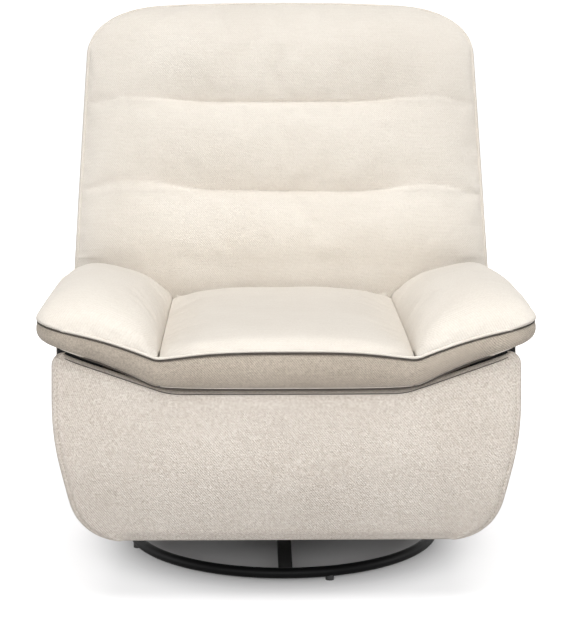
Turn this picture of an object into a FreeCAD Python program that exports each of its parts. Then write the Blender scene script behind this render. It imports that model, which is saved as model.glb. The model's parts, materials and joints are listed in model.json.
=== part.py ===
"""Swivel rocker recliner as a parametric document, in millimetres.

The chair faces -Y, +Z is up, and the origin is on the floor on the swivel axis.
"""
import FreeCAD, Part
import math
import os

import Sketcher

Vector = FreeCAD.Vector
Placement = FreeCAD.Placement
Rotation = FreeCAD.Rotation

RIGHT = 1
LEFT = -1
SIDES = (RIGHT, LEFT)
NO_TURN = Rotation()
ALONG_X = Rotation(Vector(0, 1, 0), 90)

SIZES = {
    # swivel base
    "glide_height": 6, "glide_diameter": 16, "glide_count": 4, "glide_turn": 16, "glide_cup": 4,
    "ring_radius": 297, "ring_tube": 20,
    "spoke_width": 26, "spoke_depth": 16, "spoke_wall": 2,
    "hub_width": 150, "hub_corner": 24, "hub_wall": 5,
    "race_radius": 95, "race_wall": 6, "race_gap": 3,
    "ball_circle": 75, "ball_diameter": 8, "ball_count": 16, "ball_play": 0.25,
    "cage_width": 18, "cage_wall": 1.6,
    "king_diameter": 16, "king_play": 0.3, "nut_width": 28, "nut_height": 10,
    "rivet_diameter": 8, "rivet_circle": 50, "rivet_head": 3, "rivet_flange": 3, "rivet_play": 0.2,
    # turntable and rocker
    "turntable_length": 400, "turntable_width": 240, "turntable_corner": 40, "turntable_wall": 5,
    "rocker_spread": 170, "rock_height": 140, "rock_pin": 14, "rock_eye": 21,
    "channel_gap": 32, "channel_wall": 4, "channel_foot": 35,
    "bush_wall": 6, "bush_play": 0.2, "bush_end_play": 0.5,
    "rocker_wall": 6, "rocker_sole": 158, "rocker_toe": 115, "rocker_window": 50,
    "seat_plate": 46, "seat_plate_wall": 4,
    "coil_reach": 90, "coil_diameter": 34, "coil_wire": 5, "coil_turns": 6, "coil_seat_gap": 0.3,
    # chassis
    "tube_width": 25, "tube_wall": 2, "tube_height": 302, "front_tube_y": -72, "rear_tube_y": 150,
    "plate_x": 300, "plate_wall": 4, "plate_top": 429, "plate_bottom": 370, "plate_end": 24,
    "leg_width": 50, "leg_drop": 18,
    "link_wall": 4, "link_gap": 1, "link_width": 21,
    "frame_wall": 18, "frame_front": -388, "frame_rear": 330, "frame_bottom": 140,
    "rail_depth": 26, "rail_height": 42, "seat_height": 390, "rear_rail_y": 98,
    "base_rail_depth": 22, "base_rail_height": 40,
    "cover_wall": 4, "cover_front_end": -165, "cover_rear_start": 175, "cover_half": 284,
    "panel_wall": 15, "panel_top": 372,
    "bolt_diameter": 8, "bolt_head": 14, "bolt_head_height": 4, "bolt_z": 402,
    "bolt_front_y": -100, "bolt_mid_y": 30, "bolt_rear_y": 150,
    # upholstered body
    "body_half": 408, "body_bottom": 124, "hip_height": 287.5, "hip_radius": 300,
    "belly_half": 361, "belly_radius": 92, "shell_front": -386, "shell_rear": 345,
    "shell_shoulder": 160, "shell_sweep": 358, "shell_tail": 60, "shell_edge": 6,
    "soft_gap": 0.4,
    # seat cushion and arm pads
    "seat_half": 222, "boxing_bottom": 394, "boxing_front": -455, "seat_welt": 464,
    "seat_crown": 492, "seat_rear": 126, "crease_front": 450, "crease_rear": 456,
    "arm_half": 437, "arm_tip": 510, "arm_crown": 556, "arm_crown_x": 328, "arm_rear": 158,
    "arm_under_x": 300, "arm_under": 433, "arm_lip_x": 405, "arm_lip": 468, "arm_welt": 489,
    "arm_rear_drop": 58, "arm_cheek_x": 433, "arm_cheek": 488,
    "strap_width": 50, "strap_wall": 3, "strap_count": 5, "strap_pitch": 84,
    # back
    "recline_y": 212, "recline_z": 415, "back_lean": 16, "hinge_pin": 10,
    "back_low": 70, "back_high": 646, "back_half_low": 429, "back_half_high": 400,
    "back_corner": 130, "back_dome": 4, "back_piping": 8,
    "channel_low": 238, "channel_high": 423, "channel_depth": 30, "pillow_slices": 8,
    "pillow_front": 106, "pillow_side": 50, "pillow_rear": 8, "pillow_hem": 24, "pillow_brow": 64,
    "roll_radius": 84, "roll_half": 215, "roll_wing": 288, "roll_front": 80, "wing_front": 44,
    "post_wall": 20, "post_depth": 40, "post_front": 10, "post_low": 105, "post_high": 616,
    "cross_height": 40, "bracket_reach": 226, "bracket_width": 38, "bracket_elbow": 60,
    "back_strap_low": 170, "back_strap_pitch": 105, "back_strap_count": 4, "back_strap_wall": 1.4,
    "outer_rear_low": 90, "outer_rear_high": 68, "outer_wall": 14, "outer_cavity": 42,
    # legrest
    "front_pivot_y": -230, "front_pivot_z": 415, "turn_centre_y": -455, "turn_centre_z": 495,
    "link_run": 110, "link_drop": 220, "rear_share": 0.25, "lower_share": 0.2,
    "torque_share": 0.35, "torque_diameter": 22, "torque_wall": 2,
    "rest_front": -450, "rest_rear": -390, "rest_edge": 9, "board_wall": 15, "board_inset": 30,
    "rest_gap": 7, "ear_top": 458, "ear_corner": 12, "ear_elbow": 310, "ear_elbow_z": 426,
    "flange_wall": 4, "flange_height": 90,
    # release lever
    "lever_y": 95, "lever_z": 412, "lever_length": 92, "lever_wall": 8, "lever_width": 22,
    "shaft_diameter": 12, "shaft_play": 0.4, "escutcheon_diameter": 44, "escutcheon_wall": 2,
    "cam_length": 26,
}

doc = FreeCAD.newDocument("swivel_rocker_recliner")
sheet = doc.addObject("Spreadsheet::Sheet", "sizes")
for row, (alias, value) in enumerate(SIZES.items(), start=1):
    sheet.set(f"A{row}", alias)
    sheet.set(f"B{row}", str(value))
    sheet.setAlias(f"B{row}", alias)
doc.recompute()

sub_parts = []


def size(alias):
    """A driving dimension, read from the sheet."""
    return float(sheet.get(alias))


def keep(thing, label):
    """Give a finished sub-part its name and put it on the list that is written out."""
    thing.Label = label
    sub_parts.append(thing)
    return thing


def bind(thing, expressions):
    """Tie properties of an object to cells of the sheet."""
    for path, text in expressions.items():
        thing.setExpression(path, text)
    return thing


def side_name(side):
    """Photo side of a mirrored piece."""
    return "right" if side == RIGHT else "left"


# Outlines


def rounded(corners):
    """Closed chain of lines and tangent arcs through corners (x, y, radius).

    A radius is held to what its two sides leave room for.
    """
    count = len(corners)
    points = [Vector(corner[0], corner[1], 0) for corner in corners]
    starts = []
    ends = []
    mids = []
    for index, corner in enumerate(corners):
        point = points[index]
        before = points[index - 1] - point
        after = points[(index + 1) % count] - point
        half_turn = before.getAngle(after) / 2
        reach = 0.0
        if corner[2] > 0:
            reach = min(corner[2] / math.tan(half_turn), 0.49 * before.Length, 0.49 * after.Length)
        radius = reach * math.tan(half_turn)
        towards = before.normalize() + after.normalize()
        starts.append(point + before * reach)
        ends.append(point + after * reach)
        if reach > 0:
            centre = point + towards.normalize() * (radius / math.sin(half_turn))
            mids.append(centre + (point - centre).normalize() * radius)
        else:
            mids.append(None)
    chain = []
    for index in range(count):
        if mids[index] is not None:
            chain.append(Part.Arc(starts[index], mids[index], ends[index]))
        chain.append(Part.LineSegment(ends[index], starts[(index + 1) % count]))
    return chain


def bar(first, last, radius):
    """Outline of a flat link with round ends about two pivots."""
    first = Vector(first[0], first[1], 0)
    last = Vector(last[0], last[1], 0)
    along = (last - first).normalize()
    across = Vector(-along.y, along.x, 0)
    return [
        Part.LineSegment(first + across * radius, last + across * radius),
        Part.Arc(last + across * radius, last + along * radius, last - across * radius),
        Part.LineSegment(last - across * radius, first - across * radius),
        Part.Arc(first - across * radius, first - along * radius, first + across * radius),
    ]


def mirrored(corners):
    """The corners of a right half, followed by their mirror images in x."""
    return corners + [(-x, y, radius) for x, y, radius in reversed(corners)]


# Bodies made of sketches


def plane_of(body, role):
    """One of the body's own origin planes."""
    return next(plane for plane in body.Origin.OriginFeatures if plane.Role == role)


def sketch_on(body, role, chain, holes=(), offset=0.0):
    """Sketch of a closed chain with round holes (x, y, radius expression)."""
    sketch = body.newObject("Sketcher::SketchObject", "outline")
    sketch.AttachmentSupport = (plane_of(body, role), [""])
    sketch.MapMode = "FlatFace"
    sketch.AttachmentOffset = Placement(Vector(0, 0, offset), NO_TURN)
    if chain:
        sketch.addGeometry(chain, False)
    for hole_x, hole_y, radius in holes:
        circle = Part.Circle(Vector(hole_x, hole_y, 0), Vector(0, 0, 1), 1.0)
        index = sketch.addGeometry(circle, False)
        rule = sketch.addConstraint(Sketcher.Constraint("Radius", index, 1.0))
        sketch.setExpression(f"Constraints[{rule}]", radius)
    return sketch


def pad_on(body, sketch, length, midplane=False, backwards=False):
    """Pad of a sketch with its length tied to the sheet."""
    pad = body.newObject("PartDesign::Pad", "pad")
    pad.Profile = sketch
    pad.Midplane = midplane
    pad.Reversed = backwards
    pad.setExpression("Length", length)
    return pad


def plate(label, role, chain, holes, length, place):
    """Flat plate: one sketch, one pad, and its place in the chair."""
    body = doc.addObject("PartDesign::Body", label)
    pad_on(body, sketch_on(body, role, chain, holes), length)
    bind(body, place)
    return body


def layer(side, inner, wall):
    """Placement of a plate that is padded along +X, at a distance from the middle plane."""
    text = inner if side == RIGHT else f"-({inner}) - {wall}"
    return {"Placement.Base.x": text}


# Primitives


def box(length, width, height, place):
    """Box with its three sizes and its corner tied to the sheet."""
    block = doc.addObject("Part::Box", "block")
    sizes_of = {"Length": length, "Width": width, "Height": height}
    corner = dict(zip(("Placement.Base.x", "Placement.Base.y", "Placement.Base.z"), place))
    return bind(block, {**sizes_of, **corner})


def upright(radius, height, bottom, x="0", y="0"):
    """Upright cylinder."""
    cylinder = doc.addObject("Part::Cylinder", "cylinder")
    return bind(cylinder, {
        "Radius": radius, "Height": height,
        "Placement.Base.x": x, "Placement.Base.y": y, "Placement.Base.z": bottom,
    })


def rod(radius, length, x, y, z):
    """Cylinder along X from its low end."""
    cylinder = doc.addObject("Part::Cylinder", "cylinder")
    cylinder.Placement = Placement(Vector(0, 0, 0), ALONG_X)
    return bind(cylinder, {
        "Radius": radius, "Height": length,
        "Placement.Base.x": x, "Placement.Base.y": y, "Placement.Base.z": z,
    })


def cut(base, tool):
    """First object less the second."""
    result = doc.addObject("Part::Cut", "cut")
    result.Base = base
    result.Tool = tool
    return result


def joined(things):
    """Objects fused into one solid."""
    result = doc.addObject("Part::MultiFuse", "fuse")
    result.Shapes = things
    return result


def group(things):
    """Separate solids that share one node."""
    result = doc.addObject("Part::Compound", "group")
    result.Links = things
    return result


def shaped(shape):
    """Object for a form that has no feature of its own."""
    feature = doc.addObject("Part::Feature", "form")
    feature.Shape = shape
    return feature


# Levels of the base, from the floor up

RING_Z = "(sizes.glide_height + sizes.ring_tube / 2)"
SPOKE_TOP = f"({RING_Z} + sizes.spoke_depth / 2)"
HUB_TOP = f"({SPOKE_TOP} + sizes.hub_wall)"
RACE_TOP = f"({HUB_TOP} + sizes.race_wall)"
BALL_Z = f"({RACE_TOP} + sizes.race_gap / 2)"
UPPER_RACE = f"({RACE_TOP} + sizes.race_gap)"
TURNTABLE = f"({UPPER_RACE} + sizes.race_wall)"
TURNTABLE_TOP = f"({TURNTABLE} + sizes.turntable_wall)"

ring_z = size("glide_height") + size("ring_tube") / 2
spoke_top = ring_z + size("spoke_depth") / 2
race_top = spoke_top + size("hub_wall") + size("race_wall")
ball_z = race_top + size("race_gap") / 2
turntable_top = race_top + size("race_gap") + size("race_wall") + size("turntable_wall")


def ring_solid():
    """The bent tube of the base."""
    ring = doc.addObject("Part::Torus", "ring")
    return bind(ring, {
        "Radius1": "sizes.ring_radius", "Radius2": "sizes.ring_tube / 2", "Placement.Base.z": RING_Z,
    })


def make_base_ring():
    keep(ring_solid(), "base_ring")


def make_base_spokes():
    """Cross of two rectangular tubes, coped to the ring."""
    def cross(width, depth):
        reach = "2 * sizes.ring_radius"
        low = f"{RING_Z} - ({depth}) / 2"
        arm_y = box(width, reach, depth, (f"-({width}) / 2", "-sizes.ring_radius", low))
        arm_x = box(reach, width, depth, ("-sizes.ring_radius", f"-({width}) / 2", low))
        return joined([arm_y, arm_x])

    outside = cross("sizes.spoke_width", "sizes.spoke_depth")
    bore = cross("sizes.spoke_width - 2 * sizes.spoke_wall", "sizes.spoke_depth - 2 * sizes.spoke_wall")
    keep(cut(cut(outside, bore), ring_solid()), "base_spokes")


def make_base_glides():
    """Plastic glides cupped under the ring."""
    count = int(size("glide_count"))
    feet = []
    for index in range(count):
        turn = f"(sizes.glide_turn + {index} * 360 / sizes.glide_count) * 1 deg"
        feet.append(upright(
            "sizes.glide_diameter / 2", "sizes.glide_height + sizes.glide_cup", "0",
            f"sizes.ring_radius * sin({turn})", f"-sizes.ring_radius * cos({turn})"))
    keep(cut(group(feet), ring_solid()), "base_glides")


def diagonal_holes(radius):
    """Four holes on the rivet circle, between the spokes."""
    reach = size("rivet_circle") / math.sqrt(2)
    return [(x * reach, y * reach, radius) for x in SIDES for y in SIDES]


def make_hub_plate():
    half = size("hub_width") / 2
    chain = rounded(mirrored([(half, -half, size("hub_corner")), (half, half, size("hub_corner"))]))
    holes = diagonal_holes("sizes.rivet_diameter / 2") + [(0, 0, "sizes.king_diameter / 2")]
    keep(plate("hub_plate", "XY_Plane", chain, holes, "sizes.hub_wall",
               {"Placement.Base.z": SPOKE_TOP}), "hub_plate")


def race(label, bottom, bore):
    """Race with a groove for the balls."""
    body = doc.addObject("PartDesign::Body", "race")
    holes = [(0, 0, "sizes.race_radius"), (0, 0, bore)]
    if label == "bearing_lower_race":
        holes += diagonal_holes("sizes.rivet_diameter / 2")
    pad_on(body, sketch_on(body, "XY_Plane", [], holes), "sizes.race_wall")
    bind(body, {"Placement.Base.z": bottom})
    groove = doc.addObject("Part::Torus", "groove")
    bind(groove, {
        "Radius1": "sizes.ball_circle", "Radius2": "sizes.ball_diameter / 2 + sizes.ball_play",
        "Placement.Base.z": BALL_Z,
    })
    keep(cut(body, groove), label)


def make_bearing():
    race("bearing_lower_race", HUB_TOP, "sizes.king_diameter / 2")
    race("bearing_upper_race", UPPER_RACE, "sizes.king_diameter / 2 + sizes.king_play")
    count = int(size("ball_count"))
    centres = []
    for index in range(count):
        turn = 2 * math.pi * index / count
        centres.append(Vector(math.cos(turn), math.sin(turn), 0) * size("ball_circle"))
    pocket = "sizes.ball_diameter / 2 + sizes.ball_play"
    holes = [(0, 0, "sizes.ball_circle + sizes.cage_width / 2"),
             (0, 0, "sizes.ball_circle - sizes.cage_width / 2")]
    holes += [(centre.x, centre.y, pocket) for centre in centres]
    keep(plate("bearing_cage", "XY_Plane", [], holes, "sizes.cage_wall",
               {"Placement.Base.z": f"{BALL_Z} - sizes.cage_wall / 2"}), "bearing_cage")
    balls = []
    for centre in centres:
        ball = doc.addObject("Part::Sphere", "ball")
        ball.Placement = Placement(centre, NO_TURN)
        balls.append(bind(ball, {"Radius": "sizes.ball_diameter / 2", "Placement.Base.z": BALL_Z}))
    keep(group(balls), "bearing_balls")


def make_hub_rivets():
    """Rivets that hold the lower race to the hub plate."""
    rivets = []
    for x, y, _ in diagonal_holes(""):
        shank = upright("sizes.rivet_diameter / 2", "sizes.hub_wall + sizes.race_wall", SPOKE_TOP,
                        str(x), str(y))
        head = upright("sizes.rivet_diameter / 2 + sizes.rivet_flange", "sizes.rivet_head",
                       f"{SPOKE_TOP} - sizes.rivet_head", str(x), str(y))
        groove = doc.addObject("Part::Torus", "groove")
        bind(groove, {
            "Radius1": "sizes.ball_circle", "Radius2": "sizes.ball_diameter / 2 + sizes.ball_play",
            "Placement.Base.z": BALL_Z,
        })
        rivets.append(cut(joined([shank, head]), groove))
    keep(group(rivets), "hub_rivets")


def make_king_pin():
    """Pin that the turntable swivels on, and the nut that holds it down."""
    nut_bottom = f"({TURNTABLE_TOP} + sizes.king_play)"
    keep(upright("sizes.king_diameter / 2", f"{nut_bottom} + sizes.nut_height - {SPOKE_TOP}", SPOKE_TOP),
         "king_pin")
    nut = doc.addObject("Part::Prism", "nut")
    nut.Polygon = 6
    bind(nut, {
        "Circumradius": "sizes.nut_width / sqrt(3)", "Height": "sizes.nut_height",
        "Placement.Base.z": nut_bottom,
    })
    bore = upright("sizes.king_diameter / 2", "sizes.nut_height", nut_bottom)
    keep(cut(nut, bore), "king_nut")


# Turntable


def make_turntable_plate():
    half_x = size("turntable_length") / 2
    half_y = size("turntable_width") / 2
    corner = size("turntable_corner")
    chain = rounded(mirrored([(half_x, -half_y, corner), (half_x, half_y, corner)]))
    holes = [(0, 0, "sizes.king_diameter / 2 + sizes.king_play")]
    keep(plate("turntable_plate", "XY_Plane", chain, holes, "sizes.turntable_wall",
               {"Placement.Base.z": TURNTABLE}), "turntable_plate")


def make_rocker_channels():
    """Folded channels whose ears hold the rocker pins."""
    foot = size("channel_foot")
    eye = size("rock_eye")
    axis = size("rock_height")
    floor = turntable_top
    channels = []
    for side in SIDES:
        body = doc.addObject("PartDesign::Body", "channel")
        chain = rounded(mirrored([
            (foot, floor, 2), (foot, floor + size("channel_wall") * 3, foot), (eye, axis + eye, eye),
        ]))
        hole = [(0, axis, "sizes.rock_pin / 2")]
        sketch = sketch_on(body, "YZ_Plane", chain, hole)
        pad_on(body, sketch, "sizes.channel_gap + 2 * sizes.channel_wall", midplane=True)
        gap = size("channel_gap") / 2
        ceiling = axis + 2 * eye
        slot = rounded(mirrored([(gap, floor + size("channel_wall"), 0), (gap, ceiling, 0)]))
        pocket = body.newObject("PartDesign::Pocket", "gap")
        pocket.Profile = sketch_on(body, "XZ_Plane", slot)
        pocket.Type = "ThroughAll"
        pocket.Midplane = True
        body.Tip = pocket
        channels.append(bind(body, {"Placement.Base.x": f"{side} * sizes.rocker_spread"}))
    keep(group(channels), "rocker_channels")


def make_rocker_pins():
    """Headed pins through the ears and the bushes."""
    reach = "(sizes.channel_gap / 2 + sizes.channel_wall)"
    pins = []
    for side in SIDES:
        middle = f"{side} * sizes.rocker_spread"
        shank = rod("sizes.rock_pin / 2", f"2 * ({reach} + sizes.rivet_head)",
                    f"{middle} - {reach} - sizes.rivet_head", "0", "sizes.rock_height")
        heads = [
            rod("sizes.rock_pin / 2 + sizes.rivet_flange", "sizes.rivet_head", start, "0",
                "sizes.rock_height")
            for start in (f"{middle} - {reach} - sizes.rivet_head", f"{middle} + {reach}")
        ]
        pins.append(joined([shank] + heads))
    keep(group(pins), "rocker_pins")


def coil(x, y, bottom, top):
    """Open coil spring whose half turns are arcs, standing on its end."""
    wire = size("coil_wire")
    radius = size("coil_diameter") / 2
    halves = int(2 * size("coil_turns"))
    rise = (top - bottom - wire) / halves
    first = bottom + wire / 2

    def point(half):
        angle = math.pi * half
        return Vector(x + radius * math.cos(angle), y + radius * math.sin(angle), first + rise * half)

    arcs = [Part.Arc(point(half), point(half + 0.5), point(half + 1)).toShape() for half in range(halves)]
    section = Part.Wire([Part.makeCircle(wire / 2, point(0), Vector(0, 1, 0))])
    turns_apart = min((point(half + 2) - point(half)).Length for half in range(halves - 1))
    print("coil gap to itself", round(turns_apart - wire, 2))
    return Part.Wire(arcs).makePipeShell([section], True, False)


def make_rocker_springs():
    gap = size("coil_seat_gap")
    bottom = turntable_top + gap
    top = size("rocker_sole") - size("seat_plate_wall") - gap
    springs = [
        coil(side * size("rocker_spread"), end * size("coil_reach"), bottom, top)
        for side in SIDES for end in SIDES
    ]
    keep(shaped(Part.makeCompound(springs)), "rocker_springs")


# Chassis: rocker arms, cross tubes and mechanism plates


def make_rocker_arms():
    """Boat-shaped plates that hang on the rocker pins and carry the cross tubes."""
    axis = size("rock_height")
    eye = size("rock_eye")
    sole = size("rocker_sole")
    toe = size("rocker_toe")
    deck = size("tube_height") - size("tube_width") / 2
    half_tube = size("tube_width")
    front = size("front_tube_y") - half_tube
    rear = size("rear_tube_y") + half_tube
    corners = [
        (eye, axis - eye, eye), (eye + 6, sole, 8), (toe, sole, 0), (rear, deck - 20, 30),
        (rear, deck, 0), (front, deck, 0), (front, deck - 20, 20), (-toe, sole, 0),
        (-eye - 6, sole, 8), (-eye, axis - eye, eye),
    ]
    window_y = (front + rear) / 2
    arms = []
    for side in SIDES:
        body = doc.addObject("PartDesign::Body", "rocker_arm")
        holes = [(0, axis, "sizes.rock_pin / 2 + sizes.bush_play + sizes.bush_wall"),
                 (window_y, (sole + deck) / 2, "sizes.rocker_window / 2")]
        sketch = sketch_on(body, "YZ_Plane", rounded(corners), holes)
        pad_on(body, sketch, "sizes.rocker_wall", midplane=True)
        arms.append(bind(body, {"Placement.Base.x": f"{side} * sizes.rocker_spread"}))
    keep(group(arms), "rocker_arms")


def make_rocker_bushes():
    """Nylon sleeves pressed into the rocker arms."""
    length = "(sizes.channel_gap - 2 * sizes.bush_end_play)"
    bushes = []
    for side in SIDES:
        start = f"{side} * sizes.rocker_spread - {length} / 2"
        sleeve = rod("sizes.rock_pin / 2 + sizes.bush_play + sizes.bush_wall", length, start, "0",
                     "sizes.rock_height")
        bore = rod("sizes.rock_pin / 2 + sizes.bush_play", length, start, "0", "sizes.rock_height")
        bushes.append(cut(sleeve, bore))
    keep(group(bushes), "rocker_bushes")


def make_spring_seats():
    """Seats under the toes of the rocker arms."""
    seats = []
    for side in SIDES:
        for end in SIDES:
            seats.append(box(
                "sizes.seat_plate", "sizes.seat_plate", "sizes.seat_plate_wall",
                (f"{side} * sizes.rocker_spread - sizes.seat_plate / 2",
                 f"{end} * sizes.coil_reach - sizes.seat_plate / 2",
                 "sizes.rocker_sole - sizes.seat_plate_wall")))
    keep(group(seats), "spring_seats")


def make_cross_tubes():
    """Square tubes between the mechanism plates."""
    tubes = []
    for place in ("sizes.front_tube_y", "sizes.rear_tube_y"):
        def square(width):
            return box("2 * sizes.plate_x", width, width,
                       ("-sizes.plate_x", f"{place} - ({width}) / 2",
                        f"sizes.tube_height - ({width}) / 2"))
        tubes.append(cut(square("sizes.tube_width"), square("sizes.tube_width - 2 * sizes.tube_wall")))
    keep(group(tubes), "cross_tubes")


# Pivots of the legrest, as (y, z) in the closed position

front_pivot = Vector(size("front_pivot_y"), size("front_pivot_z"), 0)
turn_centre = Vector(size("turn_centre_y"), size("turn_centre_z"), 0)
link_vector = Vector(size("link_run"), -size("link_drop"), 0)
front_foot = front_pivot + link_vector
board_pivot = turn_centre + link_vector
arm_vector = board_pivot - front_foot
rear_pivot = front_pivot - arm_vector * size("rear_share")
rear_foot = rear_pivot + link_vector
lower_pivot = front_foot - link_vector * size("lower_share")
lower_board_pivot = board_pivot - link_vector * size("lower_share")
torque_pivot = front_pivot + link_vector * size("torque_share")
recline = Vector(size("recline_y"), size("recline_z"), 0)


def pair(point):
    """The y and z of a pivot."""
    return (point.x, point.y)


def make_mechanism_plates():
    """Side plates with two legs, which carry the links, the back hinge and the cross tubes."""
    top = size("plate_top")
    bottom = size("plate_bottom")
    end = size("plate_end")
    half_leg = size("leg_width") / 2
    foot = size("tube_height") - size("leg_drop")
    front = size("front_pivot_y") - end
    rear = size("recline_y") + end
    corners = [(front, top, end / 2), (front, size("front_pivot_z") - end, end)]
    for leg in (size("front_tube_y"), size("rear_tube_y")):
        corners += [(leg - half_leg, bottom, 12), (leg - half_leg, foot, 8),
                    (leg + half_leg, foot, 8), (leg + half_leg, bottom, 12)]
    corners += [(rear, size("recline_z") - end, end), (rear, top, end / 2)]
    for side in SIDES:
        holes = [(*pair(front_pivot), "sizes.rivet_diameter / 2"),
                 (*pair(rear_pivot), "sizes.rivet_diameter / 2"),
                 (*pair(recline), "sizes.hinge_pin / 2")]
        holes += [(y, size("bolt_z"), "sizes.bolt_diameter / 2") for y in bolt_places()]
        if side == LEFT:
            holes.append((size("lever_y"), size("lever_z"), "sizes.shaft_diameter / 2 + sizes.shaft_play"))
        label = f"mechanism_plate_{side_name(side)}"
        keep(plate(label, "YZ_Plane", rounded(corners), holes, "sizes.plate_wall",
                   layer(side, "sizes.plate_x", "sizes.plate_wall")), label)


def bolt_places():
    """Places along the mechanism plate of the bolts into the plywood."""
    return [size("bolt_front_y"), size("bolt_mid_y"), size("bolt_rear_y")]


def headed(radius, flange, head, inner, reach, side, y, z):
    """Pin along X with a head on its inner end, at a distance from the middle plane."""
    start = inner if side == RIGHT else f"-({inner}) - ({head}) - ({reach})"
    head_start = inner if side == RIGHT else f"-({inner}) - ({head})"
    shank = rod(radius, f"({head}) + ({reach})", start, str(y), str(z))
    cap = rod(flange, head, head_start, str(y), str(z))
    return joined([shank, cap])


LINK_X = "(sizes.plate_x - sizes.link_gap - sizes.link_wall)"
ARM_X = f"({LINK_X} - sizes.link_gap - sizes.link_wall)"


def make_frame_bolts():
    """Bolts that hold the mechanism plates to the plywood sides."""
    bolts = []
    for side in SIDES:
        for y in bolt_places():
            bolts.append(headed(
                "sizes.bolt_diameter / 2", "sizes.bolt_head / 2", "sizes.bolt_head_height",
                "sizes.plate_x - sizes.bolt_head_height", "sizes.plate_wall + sizes.frame_wall",
                side, y, size("bolt_z")))
    keep(group(bolts), "frame_bolts")


def make_plate_rivets():
    """Rivets of the front and rear links on the mechanism plates."""
    rivets = []
    for side in SIDES:
        for pivot in (front_pivot, rear_pivot):
            rivets.append(headed(
                "sizes.rivet_diameter / 2", "sizes.rivet_diameter / 2 + sizes.rivet_flange",
                "sizes.rivet_head", f"{LINK_X} - sizes.rivet_play - sizes.rivet_head",
                "sizes.plate_x + sizes.plate_wall - " + LINK_X + " + sizes.rivet_play",
                side, *pair(pivot)))
    keep(group(rivets), "plate_rivets")


def make_recline_pins():
    """Pins that the back turns on."""
    pins = []
    for side in SIDES:
        pins.append(headed(
            "sizes.hinge_pin / 2", "sizes.hinge_pin / 2 + sizes.rivet_flange", "sizes.rivet_head",
            f"{LINK_X} - sizes.rivet_play - sizes.rivet_head",
            "sizes.plate_x + sizes.plate_wall - " + LINK_X + " + sizes.rivet_play",
            side, *pair(recline)))
    keep(group(pins), "recline_pins")


# Chassis: wooden frame

FRAME_X = "(sizes.plate_x + sizes.plate_wall)"
frame_x = size("plate_x") + size("plate_wall")
shell_x = frame_x + size("frame_wall") + size("soft_gap")


def arm_under(x):
    """Height of the underside of an arm pad at a distance from the middle plane."""
    arc = Part.Arc(Vector(size("seat_half"), size("boxing_bottom"), 0),
                   Vector(size("arm_under_x"), size("arm_under"), 0),
                   Vector(size("arm_lip_x"), size("arm_lip"), 0)).toShape().Curve
    return arc.Center.y + math.sqrt(arc.Radius ** 2 - (x - arc.Center.x) ** 2)


def make_side_frames():
    """Plywood sides, cut away at the rear for the sweep of the back."""
    front = size("frame_front")
    rear = size("frame_rear")
    bottom = size("frame_bottom")
    top = arm_under(frame_x) - size("soft_gap")
    sweep = size("shell_sweep")
    corners = [
        (front, bottom, 20), (rear, bottom, 30), (rear, sweep - 40, 20),
        (rear - 40, sweep, 80), (size("shell_shoulder"), top, 80), (front, top, 20),
    ]
    for side in SIDES:
        holes = [(y, size("bolt_z"), "sizes.bolt_diameter / 2") for y in bolt_places()]
        if side == LEFT:
            holes.append((size("lever_y"), size("lever_z"), "sizes.shaft_diameter / 2 + sizes.shaft_play"))
        label = f"side_frame_{side_name(side)}"
        keep(plate(label, "YZ_Plane", rounded(corners), holes, "sizes.frame_wall",
                   layer(side, FRAME_X, "sizes.frame_wall")), label)


def rail(half, depth, height, y, z):
    """Wooden rail across the chair."""
    return box(f"2 * {half}", depth, height, (f"-{half}", y, z))


def make_rails():
    seat_low = "sizes.seat_height - sizes.rail_height"
    keep(rail(FRAME_X, "sizes.rail_depth", "sizes.rail_height", "sizes.frame_front", seat_low),
         "seat_rail_front")
    keep(rail("sizes.plate_x", "sizes.rail_depth", "sizes.rail_height",
              "sizes.rear_rail_y - sizes.rail_depth", seat_low), "seat_rail_rear")
    low = [rail(FRAME_X, "sizes.base_rail_depth", "sizes.base_rail_height", y, "sizes.frame_bottom")
           for y in ("sizes.frame_front", "sizes.frame_rear - sizes.base_rail_depth")]
    keep(group(low), "base_rails")


def make_seat_webbing():
    """Elastic straps over the seat rails."""
    count = int(size("strap_count"))
    straps = []
    for index in range(count):
        middle = f"sizes.strap_pitch * ({index} - (sizes.strap_count - 1) / 2)"
        straps.append(box(
            "sizes.strap_width", "sizes.rear_rail_y - sizes.frame_front", "sizes.strap_wall",
            (f"{middle} - sizes.strap_width / 2", "sizes.frame_front", "sizes.seat_height")))
    keep(group(straps), "seat_webbing")


def make_dust_covers():
    """Boards under the base rails, left open in the middle for the rocker."""
    low = "sizes.frame_bottom - sizes.cover_wall"
    front = box("2 * sizes.cover_half", "sizes.cover_front_end - sizes.frame_front", "sizes.cover_wall",
                ("-sizes.cover_half", "sizes.frame_front", low))
    rear = box("2 * sizes.cover_half", "sizes.frame_rear - sizes.cover_rear_start", "sizes.cover_wall",
               ("-sizes.cover_half", "sizes.cover_rear_start", low))
    keep(group([front, rear]), "dust_covers")


def make_rear_panel():
    keep(box(f"2 * {FRAME_X} + 2 * sizes.frame_wall", "sizes.panel_wall",
             "sizes.panel_top - sizes.frame_bottom",
             (f"-{FRAME_X} - sizes.frame_wall", "sizes.frame_rear", "sizes.frame_bottom")), "rear_panel")


# Upholstered body

BODY_SIDE = [
    (size("belly_half"), size("body_bottom"), size("belly_radius")),
    (size("body_half"), size("hip_height"), size("hip_radius")),
]


def extruded(chain, plane, length):
    """Solid of a closed chain, drawn in a plane, pushed out along the plane's normal."""
    edges = [piece.toShape() for piece in chain]
    face = Part.Face(Part.Wire(edges))
    if plane == "front":
        face.Placement = Placement(Vector(0, 0, 0), Rotation(Vector(1, 0, 0), 90))
        return face.extrude(Vector(0, length, 0))
    face.Placement = Placement(Vector(0, 0, 0), Rotation(Vector(1, 1, 1), 120))
    return face.extrude(Vector(length, 0, 0))


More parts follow.
